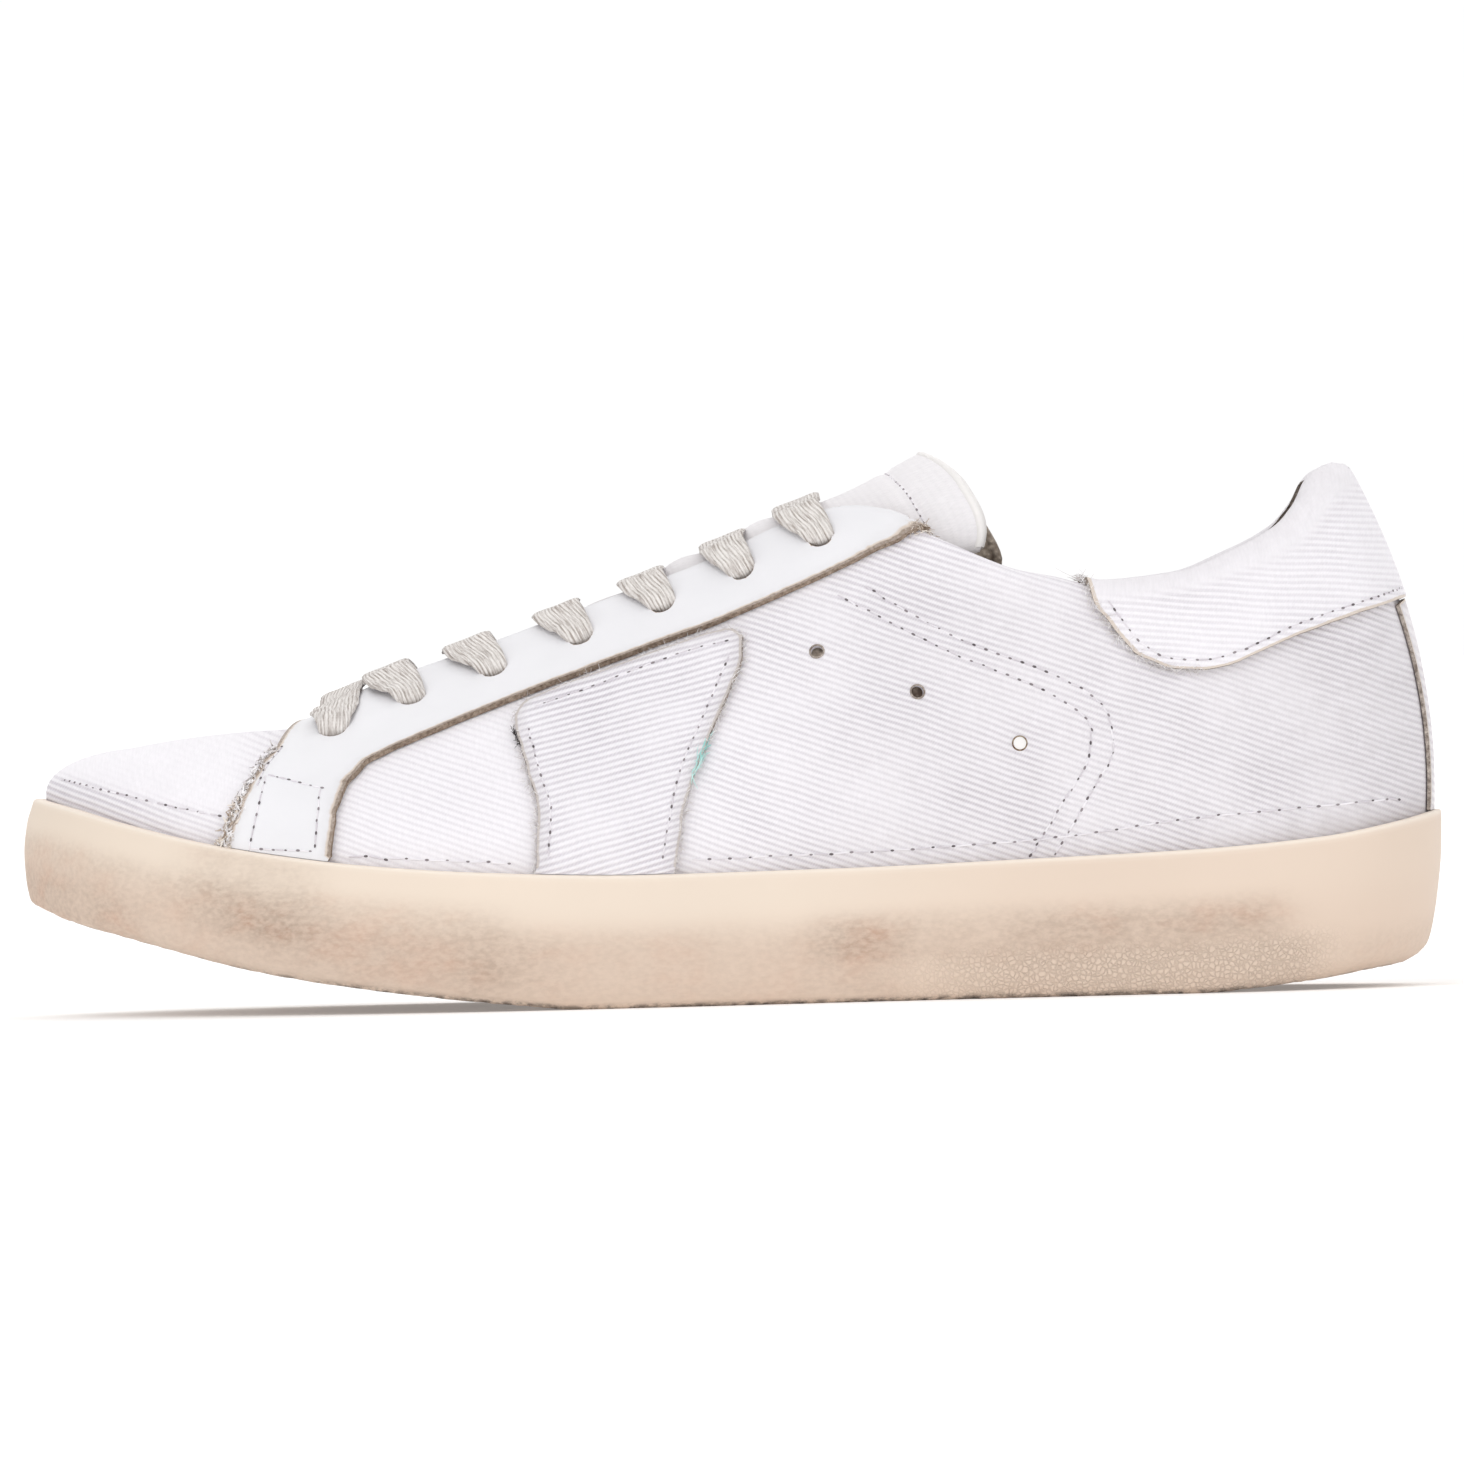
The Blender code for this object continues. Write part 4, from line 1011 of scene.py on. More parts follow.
@dataclass(frozen=True)
class StudioPaper(Finish):
    """Seamless white studio paper, lit a little from below as on a light table: flat and pale, with a fine tooth."""

    name: str = "paper_rolled_white"
    face: str = "#FCFCFC"

    def build(self) -> Material:
        """Make the material."""
        r, add = self.start()
        tone = add("MapRange", add("TexNoise", r.place(), 1 / 1.1), 0.0, 1.0, 0.985)
        colour = add("Mix", 1.0, self.face, tone, blend_type="MULTIPLY")
        return r.done(Base_Color=colour, Roughness=0.95, Emission_Color=(1, 1, 1, 1), Emission_Strength=0.16)


def made(recipe: Any) -> Any:
    """A dataclass field that holds the material made by a finish."""
    return field(default_factory=recipe.build)


@dataclass
class Finishes:
    """Every material of the shoe, made once."""

    twill: Material = made(RibbedTwill())
    patch_twill: Material = made(RibbedTwill(
        name="cotton_twill_woven_patch", turn=-14.5, pitch=1.2, depth=0.22, contrast=0.75, hem="#C8BFB9",
        hem_width=0.5))
    tab_twill: Material = made(RibbedTwill(
        name="cotton_twill_woven_tab", turn=5, contrast=0.35, hem_width=0.8))
    strip_twill: Material = made(RibbedTwill(
        name="cotton_twill_woven_strip", turn=40, contrast=0.4, face="#F0ECEE", hem_width=0.6))
    tongue_twill: Material = made(RibbedTwill(
        name="cotton_twill_woven_tongue", turn=0, contrast=0.3, face="#F9F6F8"))
    leather: Material = made(CoatedLeather())
    trim: Material = made(CoatedLeather(name="calf_leather_coated_trim", face="#F7F4F2", line=-5))
    raw: Material = made(RawSplit())
    pale_raw: Material = made(RawSplit(name="twill_backing_cut_raw", dark="#83776F", light="#E3D8CD"))
    rubber: Material = made(AgedRubber())
    terry: Material = made(Terry())
    lace: Material = made(LaceCotton())
    thread: Material = made(Thread("cotton_thread_twisted_white", "#F6F3F7", "#D3CDD3"))
    fray_brown: Material = made(Thread("leather_fibre_frayed_brown", "#F3EBE2", "#A08B7B"))
    fray_grey: Material = made(Thread("cotton_fibre_frayed_grey", "#FBF9FA", "#C6BEBB"))
    teal: Material = made(Thread("cotton_fibre_dyed_teal", "#CDEFEB", "#8FD6D1"))
    black: Material = made(Thread("cotton_fibre_dyed_black", "#4A4545", "#231F20"))
    # painted shade: the dark of the needle holes, laid on flat discs
    pinhole: Material = made(Thread("cotton_twill_pierced_shadow", "#9A9296", "#5A5356"))
    metal: Material = made(StampedMetal())


# ---------------------------------------------------------------------------------------------------------------
# The shoe


@dataclass(frozen=True)
class Rub:
    """One rubbed zone of the sole's side: from and to along x, its lowest and highest share, and its strength."""

    start: float
    end: float
    low: float
    high: float
    strength: float

    def at(self, x: Array, share: Array) -> Array:
        """Strength at places on the side, fading out at its borders."""
        length = ease(self.start, self.start + 14, x) * (1 - ease(self.end - 14, self.end, x))
        height = ease(self.low - 0.1, self.low + 0.08, share) * (1 - ease(self.high - 0.14, self.high + 0.1, share))
        return self.strength * length * height


@dataclass
class CupSole:
    """Cup sole: one moulding with a rounded side, a thin rim, a floor for the insole and a grooved tread."""

    last: Last
    columns: int = 230
    MARKS: ClassVar = ("scuff", "crumb", "low", "lip", "grime")
    tread_pitch: float = 7.0
    tread_depth: float = 0.9
    rubs: tuple[Rub, ...] = (
        Rub(-170, -40, 0.0, 0.74, 0.4), Rub(-170, -116, -0.2, 0.4, 0.3), Rub(-118, -78, 0.3, 1.05, 0.36),
        Rub(-110, -30, 0.12, 0.55, 0.22), Rub(-60, 40, 0.02, 0.6, 0.36), Rub(10, 118, 0.32, 0.66, 0.5),
        Rub(50, 122, 0.38, 0.6, 0.26), Rub(10, 126, 0.0, 0.36, 0.14), Rub(118, 170, -0.2, 0.3, 0.3))

    def side_rows(self) -> Array:
        """Shares of the side's rows, closer at the worn lower edge."""
        return np.concatenate([np.linspace(0, 0.14, 9), np.linspace(0.17, 0.94, 24), [0.965, 0.985]])

    def half(self, side: int) -> tuple[Array, dict[str, Array]]:
        """Side, rim and inner wall of one half, by column and row, with their marks."""
        last, shares = self.last, self.side_rows()
        v = np.linspace(0, 1, self.columns + 1)
        x = last.ring(v, side, 0.0)[0][:, 0]
        low, high = profile(last.UNDERSIDE, x), profile(last.RIM_LINE, x)
        rim = [(0.12, -0.22), (0.45, -0.02), (1.0, 0.0), (last.rim - 0.45, -0.05), (last.rim - 0.1, -0.3),
               (last.rim, -1.2)]
        rows = [np.column_stack([last.ring(v, side, last.side_inset(x, share))[0], low + (high - low) * share])
                for share in shares]
        rows += [np.column_stack([last.ring(v, side, last.side_inset(x, 1.0) + inset)[0], high + drop])
                 for inset, drop in rim]
        rows.append(np.column_stack([rows[-1][:, :2], last.cup_floor(rows[-1][:, 0])]))
        x, shares = x[:, None], shares[None]
        worn = (np.clip(sum(rub.at(x, shares) for rub in self.rubs), 0, 1),
                ease(20, 60, x) * (1 - ease(112, 130, x)) * (1 - ease(0.26, 0.44, shares)) * 0.8,
                1 - ease(0.35, 0.8, shares) * (1 - 0.7 * ease(0, 70, x)),
                # painted highlight along the top of the side
                0.75 * ease(0.955, 0.985, shares) + 0 * x,
                # the very foot of the side: dirt and painted contact shadow
                (1 - ease(0.0, 0.045, shares)) * ease(-118, -80, x) * (1 - ease(96, 122, x)))
        marks = {}
        # the rim's rows take 0.75 of the painted rim highlight
        for name, on_side, on_rim in zip(self.MARKS, worn, (0.1, 0.0, 0.1, 0.75, 0.0)):
            rest = np.array([on_rim] * len(rim) + [0.3])
            marks[name] = np.concatenate([on_side, np.tile(rest, (len(x), 1))], 1)
        return np.stack(rows, 1), marks

    def wear(self, points: Array) -> Array:
        """The lower edge rounded off and crumbled by wear, in small steps towards the middle."""
        worn = points.copy()
        for k, share in enumerate(self.side_rows()):
            depth = (1 - float(ease(0.03, 0.3, share))) * 0.55 + 0.07
            for i, point in enumerate(points[:, k]):
                place = Vector(point) / 4.2
                crumb = abs(noise.noise(place) * 0.5 + noise.noise(place * 2.3) * 0.35)
                worn[i, k, :2] -= np.sign(point[:2]) * crumb * depth * 0.6
                if k < 3:
                    worn[i, k, 2] += crumb * depth * 0.5
        return worn

    def tread(self, edges: dict[int, Array]) -> tuple[Array, dict[str, Array]]:
        """The underside from the outer to the inner lower edge, with plain chevron grooves.

        Args:
            edges: The lower edge of each side, from toe to heel.

        Returns:
            Its points by column and row, and their marks.
        """
        points = between(edges[-1], edges[1], 44)
        t = np.linspace(0, 1, 45)[None, :, None]
        margin = np.minimum(t[..., 0], 1 - t[..., 0]) * np.linalg.norm(edges[1] - edges[-1], axis=1)[:, None]
        inside = ease(5, 7.5, margin) * ease(-134, -128, points[..., 0]) * (1 - ease(124, 130, points[..., 0]))
        chevron = points[..., 0] + 0.35 * np.abs(points[..., 1])
        groove = 1 - ease(0.1, 0.26, np.abs((chevron / self.tread_pitch) % 1 - 0.5))
        points[..., 2] += self.tread_depth * groove * inside
        shape = points.shape[:2]
        # the underside takes half of the dark of dirt and painted shade
        return points, {"scuff": np.clip(0.45 + 0.4 * groove * inside, 0, 1), "crumb": np.full(shape, 0.2),
                        "low": np.ones(shape), "lip": np.zeros(shape), "grime": np.full(shape, 0.5)}

    def build(self, finishes: Finishes) -> None:
        """Model the sole and hand it over."""
        (outer, outer_marks), (inner, inner_marks) = (self.half(side.value) for side in BOTH)
        points = self.wear(round_shoe(outer, inner))
        points[-1] = points[0]
        marks = {name: round_shoe(outer_marks[name], inner_marks[name]) for name in self.MARKS}
        side = sheet("cup_sole_side", points, marks=marks)

        def edges(row: int) -> dict[int, Array]:
            """One row of the outer and of the inner side, from toe to heel."""
            return {-1: points[:self.columns + 1, row], 1: points[self.columns:, row][::-1]}

        fine, even = np.linspace(0, self.columns, 2 * self.columns + 1), np.arange(self.columns + 1)
        under_points, under_marks = self.tread({s: columns_at(fine, even, e) for s, e in edges(0).items()})
        under = sheet("cup_sole_under", under_points, marks=under_marks)
        inside = between(edges(-1)[-1], edges(-1)[1], 8)
        floor = sheet("cup_sole_floor", inside, marks={name: np.full(inside.shape[:2], 0.3) for name in self.MARKS})
        piece = join("cup_sole_worn", [side, under, floor])
        merge(piece, 0.01)
        face_out(piece)
        hand_over(piece, [finishes.rubber], "cream_rubber", ["cup_sole"], angle=50)


@dataclass
class Footbed:
    """Insole: a terry-covered slab with a raised edge, dished where the foot has trodden it."""

    last: Last
    front: float = 4.0
    heel: float = 12.0
    dish: float = 1.6

    def build(self, finishes: Finishes) -> None:
        """Model the insole and hand it over."""
        last, v = self.last, np.linspace(0, 1, 150)
        rows = {}
        for side in (-1, 1):
            x = last.ring(v, side, 0.0)[0][:, 0]
            inset = last.side_inset(x, 1.0) + last.rim + 2 * last.fit + last.wall
            edge, inner = last.ring(v, side, inset)[0], last.ring(v, side, inset + 1.6)[0]
            floor = last.cup_floor(edge[:, 0]) + last.fit
            thick = smooth([last.toe_tip, -30, 100, last.heel_back], [self.front, self.front, self.heel, self.heel],
                           edge[:, 0])
            rows[side] = [np.column_stack(row) for row in
                          ((edge, floor), (edge, floor + thick - 1.1), (inner, floor + thick))]
        top = between(rows[-1][2], rows[1][2], 30)
        t = np.linspace(0, 1, 31)[None, :]
        trodden = 0.6 + 0.4 * ease(40, 90, top[..., 0]) + 0.3 * (1 - ease(-90, -50, np.abs(top[..., 0] + 65) - 70))
        top[..., 2] -= self.dish * ease(0, 0.35, np.minimum(t, 1 - t)) * trodden
        wall = sheet("footbed_edge", np.stack([round_shoe(*pair) for pair in zip(rows[-1], rows[1])], 1))
        upper_face = sheet("footbed_top", top)
        under = sheet("footbed_under", between(rows[-1][0], rows[1][0], 3))
        piece = join("footbed", [wall, upper_face, under])
        merge(piece, 0.01)
        face_out(piece)
        hand_over(piece, [finishes.terry], "terry_lining", ["insole"])


@dataclass(frozen=True)
class Crease:
    """A soft trough with a ridge on either side, placed on the side view."""

    line: Line
    depth: float
    width: float

    def lift(self, points: Array) -> Array:
        """Height that it adds at side-view points, in millimetres."""
        line = rounded(self.line, 1.5)
        away = distance_to_line(points, line)
        start, end = line[0], line[-1]
        length = np.linalg.norm(end - start)
        share = np.clip(((points - start) @ (end - start)) / length ** 2, 0, 1)
        fade = np.sin(np.pi * np.clip(0.08 + 0.84 * share, 0, 1)) ** 0.7
        trough = -self.depth * np.exp(-(away / self.width) ** 2)
        ridge = 0.55 * self.depth * np.exp(-((away - 2.1 * self.width) / (1.1 * self.width)) ** 2)
        return (trough + ridge) * fade


@dataclass
class UpperCloth:
    """Outer cloth of the upper: vamp and quarters in one, rolled over the collar, creased where the foot bends."""

    last: Last
    columns: int = 224
    rows: int = 58
    thickness: float = 0.9
    hole_radius: float = 1.25
    vents: Line = ((18.1, 71.6), (38.4, 62.9), (59.0, 51.9))
    creases: tuple[Crease, ...] = (
        Crease(((-112, 38), (-109, 46), (-103, 54)), 0.34, 2.6),
        Crease(((-121, 40), (-118.5, 47), (-113, 54)), 0.26, 2.4),
        Crease(((-66, 31), (-63, 40), (-57, 52)), 0.3, 3.2),
        Crease(((-50, 31), (-49, 40), (-50, 52)), 0.24, 3.0),
        Crease(((62, 36), (76, 52), (83, 66)), 0.4, 4.2),
        Crease(((82, 40), (92, 50), (104, 58)), 0.4, 4.0),
        Crease(((118, 38), (124, 52), (122, 66)), 0.35, 4.0),
        Crease(((24, 82), (44, 80), (66, 84)), 0.3, 3.4),
        Crease(((-2, 40), (22, 46), (48, 40)), 0.28, 4.6))

    def shape(self, v: Array, r: Array, side: int, offset: float = 0.0) -> Array:
        """The creased outer face at pattern shares."""
        base = self.last.laid(v, r, side, offset)
        flat = base[..., (0, 2)].reshape(-1, 2)
        lift = sum(c.lift(flat) for c in self.creases).reshape(base.shape[:-1])
        calm = ease(0.0, 0.1, r) * (1 - ease(0.86, 0.97, r))
        return base + self.last.normal(v, np.clip(r, 0, 1), side) * (lift * calm)[..., None]

    def soil(self, points: Array) -> Array:
        """How grey the cloth is, as dirt and painted shade: painted shade at the heel counter and along the quarter's
        lower half, and dirt with painted shade just over the sole and low at the toe.
        """
        x, z = points[..., 0], points[..., 2]
        rim = profile(self.last.RIM_LINE, x)
        # painted shade: the heel counter greyed where it turns from the light
        counter = ease(84, 132, x) * (1 - ease(66, 82, z)) * 0.14
        # dirt with painted shade just over the sole's rim, more towards the heel
        foot = (1 - ease(0, 9, z - rim)) * (0.08 + 0.1 * ease(90, 130, x))
        # painted shade along the quarter's lower half
        middle = ease(-4, 40, x) * (1 - ease(78, 96, z)) * 0.14
        # greyer low at the toe: dirt and painted shade
        toe = (1 - ease(-128, -104, x)) * (1 - ease(46, 53, z)) * 0.06
        return np.clip(counter + foot + middle + toe, 0, 1)

    def half(self, side: int) -> tuple[Array, Array, Array, Array]:
        """One half's points, cloth coordinates, soil and plainness, by column and row."""
        last = self.last
        v = last.columns(self.columns)
        start = last.roll_start(v, side)
        knots, arcs = last.grid_r[::4], columns_at(v, last.grid_v, last.arcs[side][:, ::4])
        even = np.linspace(0, 1, self.rows + 1)
        r = np.array([np.interp(even * np.interp(s, knots, arc), arc, knots) for s, arc in zip(start, arcs)])
        r[:, -1] = start
        rolled = start[:, None] + (1 - start[:, None]) * np.linspace(0, 1.35, 9)[None, 1:]
        rolled = np.where(v[:, None] <= last.v_throat, 1.0, rolled)
        tucked = np.tile([-0.06, -0.03], (len(v), 1))
        r = np.concatenate([tucked, r, rolled], axis=1)
        points = self.shape(np.repeat(v[:, None], r.shape[1], 1), r, side)
        over = np.maximum(r - start[:, None], 0) / np.maximum(1 - start[:, None], 1e-3) * np.pi / 2
        lift = points[:, self.rows + 2, 2][:, None]
        rolled_on = np.where(over > 0, lift + last.roll_radius(v)[:, None] * over, points[..., 2])
        cloth = np.stack([points[..., 0], rolled_on], -1)
        smooth_toe = ease(-1.5, 2.5, points[..., 2] - np.interp(points[..., 0], [-146, -138, -126, -113, -103, -96],
                                                               [50, 49, 46, 42.9, 40.8, 39.5]))
        plain = smooth_toe * (1 - ease(-104, -92, points[..., 0])) * 0.93
        plain = np.maximum(plain, 0.5 * ease(-100, -80, points[..., 0]) * (1 - ease(-40, 20, points[..., 0])))
        return points, cloth, self.soil(points), plain

    def build(self, finishes: Finishes) -> None:
        """Model the cloth, punch its vents and hand it over."""
        points, cloth, soil, plain = (round_shoe(*pair) for pair in zip(*(self.half(side.value) for side in BOTH)))
        piece = sheet("upper_cloth", points, cloth, {"soil": soil, "plain": plain})
        face_like(piece, (0, 0, 30))
        give_wall(piece, self.thickness, False)
        punch_holes(self.last, piece, self.vents, self.hole_radius, OUTER_ONLY)
        hand_over(piece, [finishes.twill], "white_twill", ["upper"])


@dataclass
class Lining:
    """Terry lining with the collar's padding behind it, from the rolled topline down to the insole."""

    last: Last
    columns: int = 170
    rows: int = 30

    def half(self, side: int) -> Array:
        """One half's points, by column and row."""
        last = self.last
        v = last.columns(self.columns)
        start, closed = last.roll_start(v, side), v <= last.v_throat
        rows = []
        for turn in np.linspace(1.28, 2.0, 7):
            row = last.laid(v, np.where(closed, 1.0, start + (1 - start) * turn), side, -0.06)
            row[closed] = last.laid(v[closed], 1.0, side, -last.wall)
            rows.append(row)
        for share in np.linspace(1, 0, self.rows + 1)[1:]:
            face = last.skin(v, start * share, side)
            thick = last.padding(face[:, 0], face[:, 2])
            end = np.where(closed, thick, 2 * last.roll_radius(v))
            near = thick + (end - thick) * ease(0.86, 1.0, share)
            swell = 0.5 * np.sin(np.pi * np.clip((1 - share) / 0.32, 0, 1)) * ease(50, 80, face[:, 0])
            rows.append(face - last.normal(v, start * share, side) * (near + swell)[:, None])
        floor = np.column_stack([rows[-1][:, :2], last.cup_floor(rows[-1][:, 0]) + 1.5])
        rows += [(rows[-1] + floor) / 2, floor]
        return np.stack(rows, 1)

    def build(self, finishes: Finishes) -> None:
        """Model the lining and hand it over."""
        piece = sheet("collar_lining", round_shoe(*(self.half(side.value) for side in BOTH)))
        face_like(piece, (0, 0, 60))
        flip(piece)
        give_wall(piece, 0.7, False)
        hand_over(piece, [finishes.terry], "terry_lining", angle=60)


@dataclass
class Overlay:
    """A leather or cloth piece laid over the upper, cut on the pattern plane from its side-view outline."""

    last: Last
    name: str
    outline: Line
    thickness: float = 1.3
    step: float = 1.7
    ragged: float = 0.22
    tuck: float = 0.45  # how far the foot of the piece reaches down into the gap over the sole's rim
    seed: int = 3

    def edge_line(self, side: int) -> Array:
        """The cut edge on the pattern plane, slightly uneven."""
        line = self.last.pattern(self.last.find(along(np.array(self.outline, float), 1.2), side))
        line = along(line, self.step)
        line[line[:, 1] < 0.02, 1] = -self.tuck
        rng = np.random.default_rng(self.seed)
        wobble = np.convolve(rng.normal(0, 1, len(line) + 4), [0.15, 0.25, 0.3, 0.2, 0.1], "valid")
        way = unit(np.gradient(line, axis=0))
        fade = np.minimum(1, np.minimum(np.arange(len(line)), np.arange(len(line))[::-1]) / 3)
        fade = fade * (line[:, 1] > 0.5)
        return line + np.stack([-way[:, 1], way[:, 0]], -1) * (wobble * fade * self.ragged)[:, None]

    def closing(self, side: int, edge: Array) -> Array:
        """The rest of the outline, along the top line or the heel; the plain overlay is closed by its edge alone."""
        return np.zeros((0, 2))

    def bare(self, edge: Array) -> list[Array]:
        """The runs of the cut edge that show, without the part that ends in the sole's rim."""
        shown = edge[:, 1] > 0.6
        parts = np.split(edge, np.flatnonzero(np.diff(shown)) + 1)
        return [part for part in parts if part[0, 1] > 0.6 and len(part) > 1]

    def marks(self, piece: Piece, flat: Array, edge: Array, side: int) -> None:
        """Store how far each point lies from the cut edge, and how soiled it is."""
        away = np.min([distance_to_line(flat, run) for run in self.bare(edge)], axis=0)
        paint(piece, "edge", away)
        paint(piece, "soil", 0.3 * (1 - ease(0.3, 3.0, away)))
        paint(piece, "plain", np.zeros(len(flat)))

    def half(self, side: int) -> Piece:
        """One side's sheet, laid on the last."""
        edge = self.edge_line(side)
        outline = np.concatenate([edge, self.closing(side, edge)])
        keep = np.linalg.norm(outline - np.roll(outline, 1, 0), axis=1) > 0.05
        piece = cut_from_pattern(f"{self.name}_{side}", outline[keep], self.step)
        flat = points_of(piece)[:, :2]
        v, r = np.clip(flat[:, 0] / self.last.run, 0, 1), flat[:, 1] / self.last.rise
        points, far = (self.last.laid(v, r, s, self.last.fit) for s in (side, -side))
        points[v > 1 - 1e-6] = ((points + far) / 2)[v > 1 - 1e-6]
        place_points(piece, points)
        lay_cloth(piece, points[:, (0, 2)])
        self.marks(piece, flat, edge, side)
        middle = points_of(piece).mean(0)
        face_like(piece, (middle[0], middle[1] - side * 60, middle[2] - 30))
        return piece

    def build(self, sides: Sequence[Side], finishes: Sequence[Material], slot: str,
              punches: Line = (), radius: float = 0.0) -> Piece:
        """Model the overlay on its sides, punch it and hand it over.

        Args:
            sides: The sides that it lies on.
            finishes: Its face's and its cut edge's material.
            slot: The record's material slot.
            punches: Side-view places of holes.
            radius: Radius of the holes.

        Returns:
            The piece.
        """
        piece = join(f"{self.name}_worn", [self.half(side.value) for side in sides])
        merge(piece, 0.06)
        dress(piece, finishes)
        give_wall(piece, self.thickness, True, 1)
        if punches:
            punch_holes(self.last, piece, punches, radius, sides)
        return hand_over(piece, finishes, slot, [self.name], angle=50)


def standing(at: Array, way: Array) -> Matrix:
    """The transform that stands a shape at a place, in millimetres, with its z axis along a direction."""
    turn = Vector((0, 0, 1)).rotation_difference(Vector(way)).to_matrix().to_4x4()
    return Matrix.Translation(Vector(at) * MM) @ turn


def punch_holes(last: Last, piece: Piece, spots: Line, radius: float, sides: Sequence[Side]) -> None:
    """Cut round holes square to the upper's face.

    Args:
        last: The last that the face belongs to.
        piece: The piece to punch.
        spots: Side-view places.
        radius: Radius of a hole, in millimetres.
        sides: The sides to punch.
    """
    cutters = []
    for side in sides:
        shares = last.find(spots, side.value)
        place, out, _ = last.lean(shares[:, 0], shares[:, 1], side.value)
        for at, way in zip(place, out):
            cutter = started("punch", bpy.ops.mesh.primitive_cylinder_add, vertices=20, radius=radius * MM,
                             depth=7 * MM)
            cutter.data.transform(standing(at, way))
            cutters.append(cutter)
    punch = join("punch", cutters)
    apply(piece, "BOOLEAN", operation="DIFFERENCE", object=punch, solver="EXACT")
    bpy.data.objects.remove(punch, do_unlink=True)


@dataclass
class Eyestay(Overlay):
    """Smooth leather round the throat, wrapped across the vamp's top and down to the sole on both sides."""

    ridge: float = -88.0  # x at which its front edge crosses the vamp's ridge

    def edge_line(self, side: int) -> Array:
        """The cut edge, its front end carried on to the ridge."""
        line = super().edge_line(side)
        table = np.linspace(0, self.last.v_throat, 200)
        share = float(np.interp(self.ridge, self.last.top_edge(table)[0], table))
        return np.vstack([line, along(np.array([line[-1], [share * self.last.run, self.last.rise]]), self.step)[1:]])

    def closing(self, side: int, edge: Array) -> Array:
        """Back from the front edge along the vamp's ridge and the throat's rolled edge."""
        top = self.last.rise
        return along(np.array([[edge[-1][0], top], [edge[0][0], top]]), self.step)


@dataclass
class HeelTab(Overlay):
    """Cloth tab round the back of the collar, folded over the topline."""

    fold: float = 1.022

    def closing(self, side: int, edge: Array) -> Array:
        """Up the heel's middle to the fold, and back along the topline."""
        top, end, foot = self.fold * self.last.rise, self.last.run, self.edge_line(-1)[-1][1]
        up = along(np.array([[end, foot], [end, top]]), self.step)
        back = along(np.array([[end, top], [edge[0][0], top]]), self.step)
        return np.concatenate([up, back[1:]])

    def marks(self, piece: Piece, flat: Array, edge: Array, side: int) -> None:
        """Plain along the rolled topline, a little soiled at the edge."""
        super().marks(piece, flat, edge, side)
        paint(piece, "plain", ease(0.90, 0.935, flat[:, 1] / self.last.rise))
        paint(piece, "soil", 0.2 * ease(0.86, 0.98, flat[:, 1] / self.last.rise))


@dataclass
class BackStrip(Overlay):
    """Narrow strip up the middle of the heel, over the back seam."""

    half_width: float = 9.0
    top: float = 79.2

    def edge_line(self, side: int) -> Array:
        """Up the strip's side edge and across its top to the middle, on the pattern plane."""
        last = self.last
        v = np.linspace(0.9, 1, 60)
        middle = float(profile(last.RIDGE_OFFSET, last.heel_back))
        table = last.skin(1.0, np.linspace(0, 1, 60), -1)
        r_top = float(np.interp(self.top, table[:, 2], np.linspace(0, 1, 60)))
        line = []
        for r in np.linspace(-self.tuck / last.rise, r_top, 40):
            away = np.abs(last.skin(v, np.full_like(v, max(r, 0.0)), side)[:, 1] - middle)
            line.append((float(np.interp(-self.half_width, -away, v)) * last.run, r * last.rise))
        line = np.array(line + [(last.run, r_top * last.rise)])
        return along(line, self.step)

    def closing(self, side: int, edge: Array) -> Array:
        """Down the heel's middle to the rim."""
        return along(np.array([[self.last.run, edge[-1][1]], [self.last.run, -self.tuck]]), self.step)[1:]


